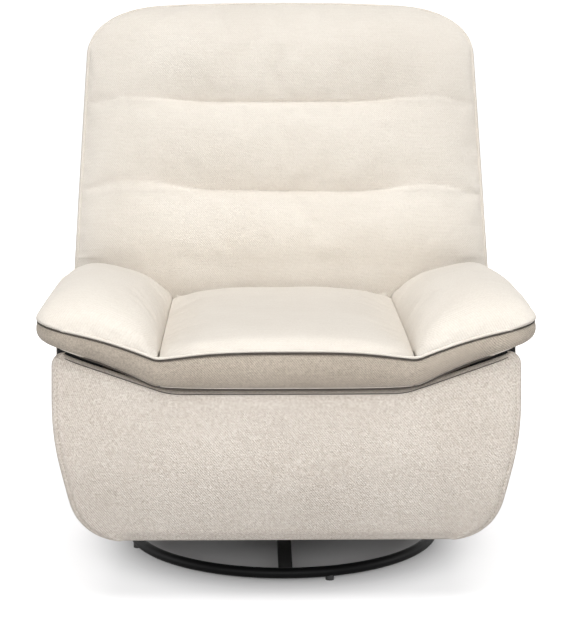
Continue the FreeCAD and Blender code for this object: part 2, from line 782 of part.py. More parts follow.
def make_side_shells():
    """Padded sides: the chair's front outline, cut by its side outline."""
    gap = size("soft_gap")
    lip = size("arm_lip_x") - gap
    inner_top = arm_under(shell_x) - gap
    slope = (arm_under(lip) - gap - inner_top) / (lip - shell_x)
    front_view = rounded([(0, size("body_bottom"), 0)] + BODY_SIDE + [
        (lip, arm_under(lip) - gap, size("shell_edge")), (0, inner_top - slope * shell_x, 0),
    ])
    front = size("shell_front")
    rear = size("shell_rear")
    sweep = size("shell_sweep")
    ceiling = size("arm_lip") + size("shell_tail")
    side_view = rounded([
        (front, size("body_bottom"), 0), (rear, size("body_bottom"), size("shell_tail")),
        (rear, sweep - 30, 30), (rear - 50, sweep + 12, 60), (size("shell_shoulder"), size("arm_lip"), 90),
        (size("shell_shoulder") - 60, ceiling, 0), (front, ceiling, 0),
    ])
    depth = rear - front
    outline = extruded(front_view, "front", depth)
    outline.translate(Vector(0, front, 0))
    block = extruded(side_view, "side", size("body_half") - shell_x)
    block.translate(Vector(shell_x, 0, 0))
    right = outline.common(block)
    bore = Part.makeCylinder(size("shaft_diameter") / 2 + size("shaft_play"), size("body_half"),
                             Vector(0, size("lever_y"), size("lever_z")), Vector(-1, 0, 0))
    left = right.mirror(Vector(0, 0, 0), Vector(1, 0, 0)).cut(bore)
    keep(shaped(right.Solids[0]), "side_shell_right")
    keep(shaped(left.Solids[0]), "side_shell_left")


def section_front(points):
    """Closed wire in a plane of constant y: pairs are line ends, triples are arcs with a middle point."""
    start = points[0]
    edges = []
    for step in points[1:] + [points[0]]:
        if isinstance(step, list):
            edges.append(Part.Arc(start, step[0], step[1]).toShape())
            start = step[1]
        else:
            edges.append(Part.LineSegment(start, step).toShape())
            start = step
    return Part.Wire(edges)


def loft(wires):
    """Smooth solid through wires with as many edges each."""
    return Part.makeLoft(wires, True, False)


def arm_stations():
    """Places along an arm pad: y, crown, tip and inner crease."""
    front = size("boxing_front")
    rear = size("arm_rear")
    crown = size("arm_crown")
    welt = size("arm_welt")
    tip = size("arm_tip")
    crease = size("crease_front")
    back_crease = size("crease_rear")
    drop = size("arm_rear_drop")
    return [
        (front, welt, tip, crease),
        (front + 22, welt + 0.5 * (crown - welt), tip, crease + 2),
        (front + 75, welt + 0.84 * (crown - welt), tip, crease + 4),
        (front + 170, crown, tip, crease + 6),
        ((front + rear) / 2 + 20, crown - 0.2 * drop, tip, back_crease),
        (rear - 80, crown - 0.65 * drop, tip - 2, back_crease),
        (rear, crown - drop, tip - 8, back_crease - 6),
    ]


def make_arm_pads():
    """Winged pads with a crown and boxed fronts."""
    inner = size("seat_half") + size("soft_gap") / 2
    wires = []
    for y, crown, tip, crease in arm_stations():
        low = Vector(inner, y, arm_under(inner))
        wires.append(section_front([
            low,
            [Vector(size("arm_under_x"), y, size("arm_under")), Vector(size("arm_lip_x"), y, size("arm_lip"))],
            [Vector(size("arm_cheek_x"), y, size("arm_cheek")), Vector(size("arm_half"), y, tip)],
            [Vector(size("arm_crown_x"), y, crown), Vector(inner, y, crease)],
        ]))
    right = loft(wires)
    keep(shaped(right), "arm_pad_right")
    keep(shaped(right.mirror(Vector(0, 0, 0), Vector(1, 0, 0))), "arm_pad_left")


def make_seat_cushion():
    """Crowned seat with a boxed front."""
    half = size("seat_half") - size("soft_gap") / 2
    bottom = size("seat_height") + size("strap_wall") + size("soft_gap")
    front = size("boxing_front")
    rear = size("seat_rear")
    crown = size("seat_crown")
    welt = size("seat_welt")
    crease = size("crease_front")
    stations = [
        (front, welt, crease), (front + 22, welt + 0.5 * (crown - welt), crease + 2),
        (front + 75, welt + 0.8 * (crown - welt), crease + 4), (front + 200, crown, crease + 6),
        (front + 400, crown, size("crease_rear")), (rear - 30, crown - 6, size("crease_rear")),
        (rear, crown - 20, size("crease_rear") - 8),
    ]
    wires = []
    for y, top, edge in stations:
        wires.append(section_front([
            Vector(-half, y, bottom), Vector(half, y, bottom), Vector(half, y, edge),
            [Vector(0, y, top), Vector(-half, y, edge)],
        ]))
    keep(shaped(loft(wires)), "seat_cushion")


# Back, drawn upright about its hinge: x across, y to the rear, z along the back

BACK_PLACE = {
    "Placement.Base.y": "sizes.recline_y", "Placement.Base.z": "sizes.recline_z",
    "Placement.Rotation.Angle": "sizes.back_lean * 1 deg",
}


def leaned(thing):
    """Set a piece of the back on its hinge at the resting lean."""
    thing.Placement = Placement(Vector(0, 0, 0), Rotation(Vector(-1, 0, 0), size("back_lean")))
    return bind(thing, BACK_PLACE)


def back_half(height, inset=0.0):
    """Half width of the back at a height, with its rounded top corners."""
    high = size("back_high") - inset
    corner = size("back_corner") - inset
    taper = (height - size("back_low")) / (size("back_high") - size("back_low"))
    half = size("back_half_low") + taper * (size("back_half_high") - size("back_half_low")) - inset
    over = height - (high - corner)
    if over <= 0:
        return half
    return half - corner + math.sqrt(max(corner ** 2 - over ** 2, 0.0))


def pillow_stations():
    """Heights of the pillow sections with how far each swells to the front and at its sides."""
    front = size("pillow_front")
    side = size("pillow_side")
    depth = size("channel_depth")
    hem = size("pillow_hem")
    brow = size("pillow_brow")
    top = size("back_high") - size("back_piping")
    slices = int(size("pillow_slices"))
    pillows = [
        (size("back_low"), size("channel_low"), hem, depth),
        (size("channel_low"), size("channel_high"), depth, depth),
        (size("channel_high"), top, depth, brow),
    ]
    stations = []
    for low, high, low_drop, high_drop in pillows:
        for index in range(slices):
            share = 2 * index / slices - 1
            drop = low_drop if share < 0 else high_drop
            height = low + (high - low) * index / slices
            stations.append((height, front - drop * abs(share) ** 3, side - 0.4 * drop * abs(share) ** 5))
    for below_top in (0.065, 0.03, 0.01, 0.0):
        share = 1 - 2 * below_top
        height = top - (top - size("channel_high")) * below_top
        stations.append((height, front - brow * share ** 3, side - 0.4 * brow * share ** 5))
    return stations


def make_back_cushion():
    """Three pillows in one cover, drawn in at two sewn channels."""
    rear = size("pillow_rear")
    wires = []
    for height, swell, side in pillow_stations():
        half = back_half(height, size("back_piping"))
        wires.append(section_front([
            Vector(-half, rear, height), Vector(half, rear, height), Vector(half, -side, height),
            [Vector(0, -swell, height), Vector(-half, -side, height)],
        ]))
    keep(leaned(shaped(loft(wires))), "back_cushion")


def make_back_lower_roll():
    """Roll about the hinge, behind the seat, which closes the gap at every recline.

    Its front rises straight to the pillows. Beside the seat it is set back, so that the arm pads
    stay clear.
    """
    half = size("roll_half")
    wing = size("roll_wing")
    radius = size("roll_radius")
    roll = Part.makeCylinder(radius, 2 * half, Vector(-half, 0, 0), Vector(1, 0, 0))
    rear = Part.makeCylinder(radius, 2 * wing, Vector(-wing, 0, 0), Vector(1, 0, 0))
    front_half = Part.makeBox(2 * wing, radius, 2 * radius, Vector(-wing, -radius, -radius))
    top = size("back_low") - size("soft_gap")
    above = Part.makeBox(2 * wing, 2 * radius, radius, Vector(-wing, -radius, top))
    depth = size("roll_front")
    rise = Part.makeBox(2 * half, depth, top, Vector(-half, -depth, 0))
    set_back = size("wing_front")
    wing_rise = Part.makeBox(2 * wing, set_back, top, Vector(-wing, -set_back, 0))
    whole = roll.fuse([rear.cut(front_half), rise, wing_rise]).cut(above).removeSplitter()
    keep(leaned(shaped(whole.Solids[0])), "back_lower_roll")


def back_outline(inset):
    """Front view of the back, as corners of its right half from the bottom up."""
    high = size("back_high") - inset
    return [
        (size("back_half_low") - inset, size("back_low"), 0),
        (size("back_half_high") - inset, high - size("back_dome"), size("back_corner") - inset),
        (0, high, 0),
    ]


def make_back_shell():
    """Outside back: a shallow tray, open to the front and below, that narrows to the top."""
    start = size("pillow_rear") + size("soft_gap")
    low = size("back_low")
    high = size("back_high")
    right = back_outline(0)
    inner = back_outline(size("outer_wall"))
    inner[0] = (inner[0][0], low - 1, 0)
    body = doc.addObject("PartDesign::Body", "outside_back")
    outline = rounded(right + [(-x, z, radius) for x, z, radius in reversed(right[:2])])
    sketch = sketch_on(body, "XZ_Plane", outline, offset=-start)
    pad_on(body, sketch, f"sizes.outer_rear_low - {start}", backwards=True)
    hollow = rounded(inner + [(-x, z, radius) for x, z, radius in reversed(inner[:2])])
    cavity = body.newObject("PartDesign::Pocket", "cavity")
    cavity.Profile = sketch_on(body, "XZ_Plane", hollow, offset=-start)
    cavity.Reversed = False
    cavity.setExpression("Length", "sizes.outer_cavity")
    rear_low = size("outer_rear_low")
    rear_high = size("outer_rear_high")
    slope = rounded([
        (rear_low, low + 60, 0), (rear_high, high, 0), (rear_high, high + 10, 0),
        (rear_low + 10, high + 10, 0), (rear_low + 10, low + 60, 0),
    ])
    taper = body.newObject("PartDesign::Pocket", "taper")
    taper.Profile = sketch_on(body, "YZ_Plane", slope)
    taper.Type = "ThroughAll"
    taper.Midplane = True
    body.Tip = taper
    keep(leaned(body), "back_shell")


def make_back_brackets():
    """Hinge brackets from the pins up the sides of the posts."""
    middle = size("post_front") + size("post_depth") / 2
    half = size("bracket_width") / 2
    reach = size("bracket_reach")
    elbow = size("bracket_elbow")
    corners = [
        (-half, -half, half), (half, -half, half), (middle + half, elbow, 40),
        (middle + half, reach, 12), (middle - half, reach, 12), (middle - half, elbow, 16),
        (-half, half, half),
    ]
    brackets = []
    for side in SIDES:
        body = doc.addObject("PartDesign::Body", "bracket")
        sketch = sketch_on(body, "YZ_Plane", rounded(corners),
                           [(0, 0, "sizes.hinge_pin / 2 + sizes.rivet_play")])
        pad_on(body, sketch, "sizes.link_wall")
        leaned(body)
        brackets.append(bind(body, layer(side, LINK_X, "sizes.link_wall")))
    keep(group(brackets), "back_brackets")


def back_block(length, depth, height, place):
    """Box in the leaning frame of the back."""
    return leaned(shaped(Part.makeBox(length, depth, height, Vector(*place))))


link_x = size("plate_x") - size("link_gap") - size("link_wall")


def make_back_frame():
    """Wooden posts and rails inside the back."""
    wall = size("post_wall")
    depth = size("post_depth")
    front = size("post_front")
    low = size("post_low")
    high = size("post_high")
    cross = size("cross_height")
    inner = link_x - wall
    posts = [back_block(wall, depth, high - low, (start, front, low)) for start in (inner, -link_x)]
    keep(group(posts), "back_posts")
    rails = [back_block(2 * inner, depth, cross, (-inner, front, z)) for z in (low, high - cross)]
    keep(group(rails), "back_rails")


def make_back_webbing():
    """Elastic straps across the posts, behind the pillows."""
    wall = size("back_strap_wall")
    straps = []
    for index in range(int(size("back_strap_count"))):
        height = size("back_strap_low") + index * size("back_strap_pitch")
        straps.append(back_block(2 * link_x, wall, size("strap_width"),
                                 (-link_x, size("post_front") - wall, height)))
    keep(group(straps), "back_webbing")


# Legrest


def flat_links(label, first, last, inner, holes):
    """Pair of flat links with round ends."""
    links = []
    for side in SIDES:
        links.append(plate("link", "YZ_Plane", bar(pair(first), pair(last), size("link_width") / 2), holes,
                           "sizes.link_wall", layer(side, inner, "sizes.link_wall")))
    keep(group(links), label)


def make_links():
    """Pantograph of two parallelograms on each side: front, rear, upper and lower links."""
    tight = "sizes.rivet_diameter / 2"
    free = "sizes.rivet_diameter / 2 + sizes.rivet_play"
    flat_links("front_links", front_pivot, front_foot, LINK_X, [
        (*pair(front_pivot), free), (*pair(front_foot), tight), (*pair(lower_pivot), tight)])
    flat_links("rear_links", rear_pivot, rear_foot, LINK_X, [
        (*pair(rear_pivot), free), (*pair(rear_foot), tight)])
    flat_links("upper_links", rear_foot, board_pivot, ARM_X, [
        (*pair(rear_foot), free), (*pair(front_foot), free), (*pair(board_pivot), tight)])
    flat_links("lower_links", lower_pivot, lower_board_pivot, ARM_X, [
        (*pair(lower_pivot), free), (*pair(lower_board_pivot), tight)])


def link_rivets(label, pivots):
    """Rivets through a link of the inner layer and one of the outer layer."""
    rivets = []
    for side in SIDES:
        for pivot in pivots:
            rivets.append(headed(
                "sizes.rivet_diameter / 2", "sizes.rivet_diameter / 2 + sizes.rivet_flange",
                "sizes.rivet_head", f"{ARM_X} - sizes.rivet_play - sizes.rivet_head",
                f"{LINK_X} + sizes.link_wall - {ARM_X} + sizes.rivet_play", side, *pair(pivot)))
    keep(group(rivets), label)


def make_link_rivets():
    link_rivets("front_link_rivets", [front_foot, lower_pivot])
    link_rivets("rear_link_rivets", [rear_foot])
    link_rivets("upper_link_rivets", [board_pivot])
    link_rivets("lower_link_rivets", [lower_board_pivot])


def make_torque_tube():
    """Tube that keeps the two front links in step."""
    y, z = pair(torque_pivot)
    tube = rod("sizes.torque_diameter / 2", f"2 * {LINK_X}", f"-{LINK_X}", str(y), str(z))
    bore = rod("sizes.torque_diameter / 2 - sizes.torque_wall", f"2 * {LINK_X}", f"-{LINK_X}", str(y), str(z))
    keep(cut(tube, bore), "torque_tube")


def rest_corners(inset):
    """Front view of the legrest panel: a U with raised ears under the arm pads."""
    gap = size("rest_gap")
    seat_edge = size("seat_half")
    sill = size("boxing_bottom") - gap
    half = size("body_half")
    right = [
        (size("belly_half") - inset, size("body_bottom") + inset, size("belly_radius")),
        (half - inset, size("hip_height"), size("hip_radius")),
        (half - inset - 2, size("ear_top") - inset, size("ear_corner")),
        (size("ear_elbow"), size("ear_elbow_z") - inset, 90),
        (seat_edge - 8, sill - inset, 60),
    ]
    return mirrored(right)


def rest_wire(inset, y):
    """Outline of the panel, drawn in by an inset, in a plane of constant y."""
    wire = Part.Wire([piece.toShape() for piece in rounded(rest_corners(inset))])
    wire.Placement = Placement(Vector(0, y, 0), Rotation(Vector(1, 0, 0), 90))
    return wire


def make_legrest_panel():
    """Upholstered panel with a rolled front edge and a pocket for its board."""
    front = size("rest_front")
    rear = size("rest_rear")
    edge = size("rest_edge")
    wires = [rest_wire(0, rear), rest_wire(0, front + edge), rest_wire(0.35 * edge, front + 0.3 * edge),
             rest_wire(edge, front)]
    panel = Part.makeLoft(wires, True, True)
    depth = size("board_wall")
    pocket = board_solid(size("board_inset") - size("soft_gap"), rear - depth - size("soft_gap"), rear)
    keep(shaped(panel.cut(pocket)), "legrest_panel")


def board_solid(inset, front, rear):
    """Slab with the outline of the panel, drawn in."""
    face = Part.Face(rest_wire(inset, front))
    return face.extrude(Vector(0, rear - front, 0))


def make_legrest_board():
    """Plywood board that the brackets bolt to."""
    rear = size("rest_rear")
    keep(shaped(board_solid(size("board_inset"), rear - size("board_wall"), rear)), "legrest_board")


def make_legrest_brackets():
    """Angle brackets on the back of the board, with the two board pivots of each side."""
    rear = size("rest_rear")
    reach = size("link_width") / 2
    upper = pair(lower_board_pivot)
    lower = pair(board_pivot)
    middle = (upper[1] + lower[1]) / 2
    tall = size("flange_height") / 2
    corners = [
        (rear, middle - tall, 0), (rear + size("flange_wall"), middle - tall, 0),
        (lower[0] + reach, lower[1] - reach, reach), (lower[0] + reach, lower[1] + reach, reach),
        (upper[0] + reach, upper[1] + reach, reach), (rear + size("flange_wall"), middle + tall, 0),
        (rear, middle + tall, 0),
    ]
    holes = [(*lower, "sizes.rivet_diameter / 2 + sizes.rivet_play"),
             (*upper, "sizes.rivet_diameter / 2 + sizes.rivet_play")]
    brackets = []
    for side in SIDES:
        brackets.append(plate("legrest_bracket", "YZ_Plane", rounded(corners), holes, "sizes.link_wall",
                              layer(side, LINK_X, "sizes.link_wall")))
    keep(group(brackets), "legrest_brackets")


# Release lever, on the sitter's right


def make_release():
    """Lever under the arm pad, its shaft through the side, and the cam inside."""
    y = size("lever_y")
    z = size("lever_z")
    radius = size("lever_width") / 2
    outside = "(sizes.body_half + sizes.escutcheon_wall + sizes.shaft_play)"
    place = layer(LEFT, outside, "sizes.lever_wall")
    chain = bar((y, z), (y - size("lever_length"), z), radius)
    lever = plate("lever", "YZ_Plane", chain, [(y, z, "sizes.shaft_diameter / 2")], "sizes.lever_wall", place)
    keep(lever, "release_lever")
    shaft = rod("sizes.shaft_diameter / 2", f"{outside} + sizes.lever_wall - {LINK_X}",
                f"-{outside} - sizes.lever_wall", "sizes.lever_y", "sizes.lever_z")
    cam = plate("cam", "YZ_Plane", bar((y, z), (y + size("cam_length"), z), radius), [], "sizes.link_wall",
                layer(LEFT, LINK_X, "sizes.link_wall"))
    keep(joined([shaft, cam]), "release_shaft")
    flange = rod("sizes.escutcheon_diameter / 2", "sizes.escutcheon_wall",
                 "-sizes.body_half - sizes.escutcheon_wall", "sizes.lever_y", "sizes.lever_z")
    bore = rod("sizes.shaft_diameter / 2 + sizes.shaft_play", "sizes.escutcheon_wall",
               "-sizes.body_half - sizes.escutcheon_wall", "sizes.lever_y", "sizes.lever_z")
    keep(cut(flange, bore), "release_escutcheon")


def build():
    """Make every sub-part, from the floor up."""
    make_base_ring()
    make_base_spokes()
    make_base_glides()
    make_hub_plate()
    make_bearing()
    make_hub_rivets()
    make_king_pin()
    make_turntable_plate()
    make_rocker_channels()
    make_rocker_pins()
    make_rocker_springs()
    make_rocker_arms()
    make_rocker_bushes()
    make_spring_seats()
    make_cross_tubes()
    make_mechanism_plates()
    make_frame_bolts()
    make_plate_rivets()
    make_recline_pins()
    make_side_frames()
    make_rails()
    make_seat_webbing()
    make_dust_covers()
    make_rear_panel()
    make_side_shells()
    make_arm_pads()
    make_seat_cushion()
    make_back_cushion()
    make_back_lower_roll()
    make_back_shell()
    make_back_brackets()
    make_back_frame()
    make_back_webbing()
    make_links()
    make_link_rivets()
    make_torque_tube()
    make_legrest_panel()
    make_legrest_board()
    make_legrest_brackets()
    make_release()
    doc.recompute()


def check():
    """Stop if any object failed or any sub-part has no valid shape."""
    faults = [thing.Name for thing in doc.Objects if {"Invalid", "Error"} & set(thing.State)]
    faults += [thing.Label for thing in sub_parts if thing.Shape.isNull() or not thing.Shape.isValid()]
    faults += [thing.Label for thing in sub_parts if not thing.Shape.Solids]
    if faults:
        raise RuntimeError("failed: " + ", ".join(faults))


build()
check()
os.makedirs("parts", exist_ok=True)
for part in sub_parts:
    part.Shape.exportStep(f"parts/{part.Label}.step")
    solids = part.Shape.Solids
    print(part.Label, len(solids), round(sum(solid.Volume for solid in solids)))
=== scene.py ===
"""Looks of a swivel rocker recliner: padded covers, seams, finishes, studio and camera.

Everything is in metres, in the frame of the construction model. The chair faces -Y.
"""
import json
import logging
import math
from dataclasses import dataclass, field
from enum import Enum
from typing import Callable, Sequence

import bmesh
import bpy
from mathutils import Matrix, Vector, noise


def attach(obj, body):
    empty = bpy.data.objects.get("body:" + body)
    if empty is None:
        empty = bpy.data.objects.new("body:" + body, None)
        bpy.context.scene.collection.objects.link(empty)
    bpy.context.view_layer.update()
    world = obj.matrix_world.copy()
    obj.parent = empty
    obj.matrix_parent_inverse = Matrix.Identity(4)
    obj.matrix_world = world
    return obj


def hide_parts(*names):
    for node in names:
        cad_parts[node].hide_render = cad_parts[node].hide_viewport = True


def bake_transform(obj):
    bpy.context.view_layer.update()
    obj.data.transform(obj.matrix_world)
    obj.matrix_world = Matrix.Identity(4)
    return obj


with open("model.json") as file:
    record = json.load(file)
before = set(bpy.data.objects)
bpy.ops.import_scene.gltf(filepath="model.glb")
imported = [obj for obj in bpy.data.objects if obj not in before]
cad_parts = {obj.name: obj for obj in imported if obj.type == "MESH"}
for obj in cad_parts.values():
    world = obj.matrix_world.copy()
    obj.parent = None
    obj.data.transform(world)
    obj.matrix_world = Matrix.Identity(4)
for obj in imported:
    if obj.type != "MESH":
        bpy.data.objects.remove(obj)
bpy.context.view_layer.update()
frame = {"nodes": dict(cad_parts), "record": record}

LOG = logging.getLogger("recliner")
Colour = tuple[float, float, float]
Point = Callable[[float, float], Vector]
Profile = Sequence[tuple[float, float]]
Ring = list[bmesh.types.BMVert]

# Distances from a sewn edge where a cover gets a row of points of its own
SEAM_EDGE = (0.0, 0.0015, 0.003, 0.005, 0.007, 0.009, 0.011, 0.013, 0.016, 0.020, 0.026, 0.034)
SOFT_EDGE = (0.0, 0.002, 0.005, 0.009, 0.014, 0.020, 0.028, 0.038)

# Lengths below this count as none
TINY = 1e-9

# Vertices closer than this are one
WELD = 1e-6

SIDES = ((1, "right"), (-1, "left"))


class Ride(str, Enum):
    """Moving bodies that the new pieces go with."""

    TURNTABLE = "turntable"
    CHASSIS = "chassis"
    BACK = "back"
    LEGREST = "legrest"


class Slot(str, Enum):
    """Material slots of the record."""

    COVER = "cover_fabric"
    BLACK_STEEL = "black_steel"
    BRIGHT_STEEL = "bright_steel"
    PLASTIC = "black_plastic"
    WOOD = "frame_wood"
    WEBBING = "webbing"
    DUST = "dust_cloth"


# Shader nodes


@dataclass
class Socket:
    """Output of a shader node, with arithmetic that adds Math nodes."""

    graph: "Graph"
    output: bpy.types.NodeSocket

    def _math(self, operation: str, first: "Socket | float", second: "Socket | float") -> "Socket":
        """Result of one added Math node."""
        return self.graph.node("ShaderNodeMath", {0: first, 1: second}, operation=operation)

    def __add__(self, other: "Socket | float") -> "Socket":
        """Sum of two values."""
        return self._math("ADD", self, other)

    def __radd__(self, other: float) -> "Socket":
        """Sum of a number and a value."""
        return self._math("ADD", other, self)

    def __sub__(self, other: "Socket | float") -> "Socket":
        """Difference of two values."""
        return self._math("SUBTRACT", self, other)

    def __rsub__(self, other: float) -> "Socket":
        """Difference of a number and a value."""
        return self._math("SUBTRACT", other, self)

    def __mul__(self, other: "Socket | float") -> "Socket":
        """Product of two values."""
        return self._math("MULTIPLY", self, other)

    def __rmul__(self, other: float) -> "Socket":
        """Product of a number and a value."""
        return self._math("MULTIPLY", other, self)

    def sine(self) -> "Socket":
        """Sine of the value."""
        return self._math("SINE", self, 0.0)

    def largest(self, other: "Socket | float") -> "Socket":
        """Larger of two values."""
        return self._math("MAXIMUM", self, other)


class Graph:
    """Node tree of one material."""

    def __init__(self, name: str) -> None:
        """Start a material with its surface shader.

        Args:
            name: name of the material.
        """
        self.material = bpy.data.materials.new(name)
        self.material.use_nodes = True
        self.tree = self.material.node_tree
        self.shader = self.tree.nodes["Principled BSDF"]

    def node(self, kind: str, inputs: dict | None = None, output: int | str = 0,
             **settings: object) -> Socket:
        """Add a node.

        Args:
            kind: node type.
            inputs: values or sockets by input name or number.
            output: which output to hand back.
            settings: properties of the node.

        Returns:
            The chosen output.
        """
        made = self.tree.nodes.new(kind)
        for key, value in settings.items():
            setattr(made, key, value)
        for key, value in (inputs or {}).items():
            if isinstance(value, Socket):
                self.tree.links.new(value.output, made.inputs[key])
            else:
                made.inputs[key].default_value = value
        return Socket(self, made.outputs[output])

    def solid(self) -> Socket:
        """Place in the piece's own frame."""
        return self.node("ShaderNodeTexCoord", output="Object")

    def split(self, vector: Socket) -> tuple[Socket, Socket, Socket]:
        """Take a vector apart.

        Args:
            vector: the vector.

        Returns:
            Its three parts.
        """
        first = self.node("ShaderNodeSeparateXYZ", {0: vector}, output=0)
        made = first.output.node
        return first, Socket(self, made.outputs[1]), Socket(self, made.outputs[2])

    def stretched(self, scale: tuple[float, float, float]) -> Socket:
        """Place in the piece's own frame, scaled by axis for a drawn-out pattern."""
        return self.node("ShaderNodeMapping", {"Vector": self.solid(), "Scale": scale})

    def grain(self, vector: Socket, scale: float, detail: float = 2.0, rough: float = 0.5) -> Socket:
        """Soft noise from 0 to 1."""
        return self.node("ShaderNodeTexNoise", {"Vector": vector, "Scale": scale, "Detail": detail,
                                                "Roughness": rough})

    def mix(self, share: Socket | float, low: Sequence[float], high: Sequence[float]) -> Socket:
        """Blend of two colours."""
        colours = {"Factor": share, 6: (*low, 1.0), 7: (*high, 1.0)}
        return self.node("ShaderNodeMix", colours, output=2, data_type="RGBA")

    def feed(self, name: str, value: Socket) -> None:
        """Link a value to an input of the surface shader."""
        self.tree.links.new(value.output, self.shader.inputs[name])

    def hold(self, **values: float | tuple[float, ...]) -> None:
        """Set constants on the surface shader; an underscore in a name is a space."""
        for name, value in values.items():
            self.shader.inputs[name.replace("_", " ")].default_value = value

    def bump(self, height: Socket, distance: float, strength: float = 1.0) -> None:
        """Roughen the surface by a height in parts of a distance."""
        self.feed("Normal", self.node("ShaderNodeBump", {
            "Height": height, "Distance": distance, "Strength": strength}))


# Finishes


@dataclass(frozen=True)
class TwillCloth:
    """Cream cloth with slanted ribs, slubs, small nubs and soft patches of tone."""

    name: str
    light: Colour
    dark: Colour
    rib: float = 0.0052
    rib_slope: float = 1.2
    rib_share: float = 0.55
    rib_tone: float = 0.30
    thread: float = 0.0016
    wander_scale: float = 55.0
    wander_turn: float = 1.6
    slub_across: float = 12.0
    slub_along: float = 260.0
    slub_tone: float = 0.2
    slub_relief: float = 0.4
    patch_scale: float = 7.0
    patch_tone: float = 0.3
    patch_roughness: float = 0.1
    nub_size: float = 0.0031
    nub_tone: float = 0.35
    ground_tone: float = 0.06
    roughness: float = 0.86
    relief: float = 0.0007

    def material(self) -> bpy.types.Material:
        """Build the cloth on the flat coordinates of each piece.

        Returns:
            The finished material.
        """
        graph = Graph(self.name)
        flat = graph.node("ShaderNodeTexCoord", output="UV")
        solid = graph.solid()
        wander = graph.grain(solid, self.wander_scale) - 0.5
        across, along, _ = graph.split(flat)
        slant = (across * self.rib_slope + along) * (2 * math.pi / self.rib)
        ribs = (slant + wander * self.wander_turn).sine() * 0.5 + 0.5
        weft = (along * (2 * math.pi / self.thread) + wander).sine() * 0.5 + 0.5
        warp = (across * (2 * math.pi / self.thread)).sine() * 0.5 + 0.5
        slub_place = graph.node("ShaderNodeCombineXYZ", {
            0: across * self.slub_across, 1: along * self.slub_along})
        slubs = graph.grain(slub_place, 1.0)
        patches = graph.grain(solid, self.patch_scale, detail=3.0)
        nubs = graph.grain(solid, 1.0 / self.nub_size, detail=1.0)
        weave = ribs * self.rib_share + weft * warp * (1 - self.rib_share)
        tone = (1.0 - weave) * self.rib_tone + (slubs - 0.5) * self.slub_tone
        tone = tone + (patches - 0.5) * self.patch_tone + self.ground_tone
        tone = tone - (nubs - 0.5) * self.nub_tone
        graph.feed("Base Color", graph.mix(tone.largest(0.0), self.light, self.dark))
        graph.feed("Roughness", self.roughness + (patches - 0.5) * self.patch_roughness)
        graph.hold(Sheen_Weight=0.18, Sheen_Roughness=0.5, Specular_IOR_Level=0.2)
        graph.bump(weave + slubs * self.slub_relief + nubs * self.nub_tone, self.relief)
        return graph.material


@dataclass(frozen=True)
class PowderCoat:
    """Satin black coating with a fine orange-peel skin and soft patches of wear."""

    name: str
    colour: Colour
    worn: Colour
    peel_scale: float = 900.0
    cloud_scale: float = 14.0
    wear: float = 0.5
    roughness: float = 0.34
    roughness_spread: float = 0.18
    relief: float = 0.0001

    def material(self) -> bpy.types.Material:
        """Build the coating.

        Returns:
            The finished material.
        """
        graph = Graph(self.name)
        solid = graph.solid()
        peel = graph.grain(solid, self.peel_scale)
        cloud = graph.grain(solid, self.cloud_scale, detail=3.0)
        graph.feed("Base Color", graph.mix(cloud * self.wear, self.colour, self.worn))
        graph.feed("Roughness", self.roughness + cloud * self.roughness_spread)
        graph.hold(Specular_IOR_Level=0.08)
        graph.bump(peel, self.relief, strength=0.6)
        return graph.material


@dataclass(frozen=True)
class PlatedSteel:
    """Zinc-plated steel with drawn lines and faint stains."""

    name: str
    colour: Colour
    stain: Colour
    line_scale: tuple[float, float, float] = (8.0, 900.0, 900.0)
    cloud_scale: float = 40.0
    roughness: float = 0.26
    roughness_spread: float = 0.2
    relief: float = 0.00005

    def material(self) -> bpy.types.Material:
        """Build the plating.

        Returns:
            The finished material.
        """
        graph = Graph(self.name)
        lines = graph.grain(graph.stretched(self.line_scale), 1.0)
        cloud = graph.grain(graph.solid(), self.cloud_scale, detail=3.0)
        graph.feed("Base Color", graph.mix(cloud, self.colour, self.stain))
        graph.feed("Roughness", self.roughness + cloud * self.roughness_spread)
        graph.hold(Metallic=1.0)
        graph.bump(lines, self.relief, strength=0.5)
        return graph.material


@dataclass(frozen=True)
class MouldedPlastic:
    """Black plastic with a fine moulded grain."""

    name: str
    colour: Colour
    scuff: Colour
    pore_scale: float = 900.0
    cloud_scale: float = 25.0
    wear: float = 0.5
    roughness: float = 0.48
    roughness_spread: float = 0.14
    relief: float = 0.00012

    def material(self) -> bpy.types.Material:
        """Build the plastic.

        Returns:
            The finished material.
        """
        graph = Graph(self.name)
        solid = graph.solid()
        pores = graph.node("ShaderNodeTexVoronoi", {"Vector": solid, "Scale": self.pore_scale})
        cloud = graph.grain(solid, self.cloud_scale, detail=3.0)
        graph.feed("Base Color", graph.mix(cloud * self.wear, self.colour, self.scuff))
        graph.feed("Roughness", self.roughness + cloud * self.roughness_spread)
        graph.bump(pores, self.relief, strength=0.6)
        return graph.material


@dataclass(frozen=True)
class Plywood:
    """Plywood with long grain, coloured nearly black as painted shade for the gaps where the frame shows
    through.
    """

    name: str
    light: Colour
    dark: Colour
    grain_scale: tuple[float, float, float] = (60.0, 3.0, 60.0)
    pore_scale: float = 7.0
    roughness: float = 0.6
    roughness_spread: float = 0.2
    relief: float = 0.0003

    def material(self) -> bpy.types.Material:
        """Build the wood.

        Returns:
            The finished material.
        """
        graph = Graph(self.name)
        stretched = graph.stretched(self.grain_scale)
        grain = graph.grain(stretched, 1.0, detail=5.0, rough=0.6)
        pores = graph.grain(stretched, self.pore_scale)
        graph.feed("Base Color", graph.mix(grain, self.light, self.dark))
        graph.feed("Roughness", self.roughness + pores * self.roughness_spread)
        graph.bump(pores + grain, self.relief, strength=0.6)
        return graph.material


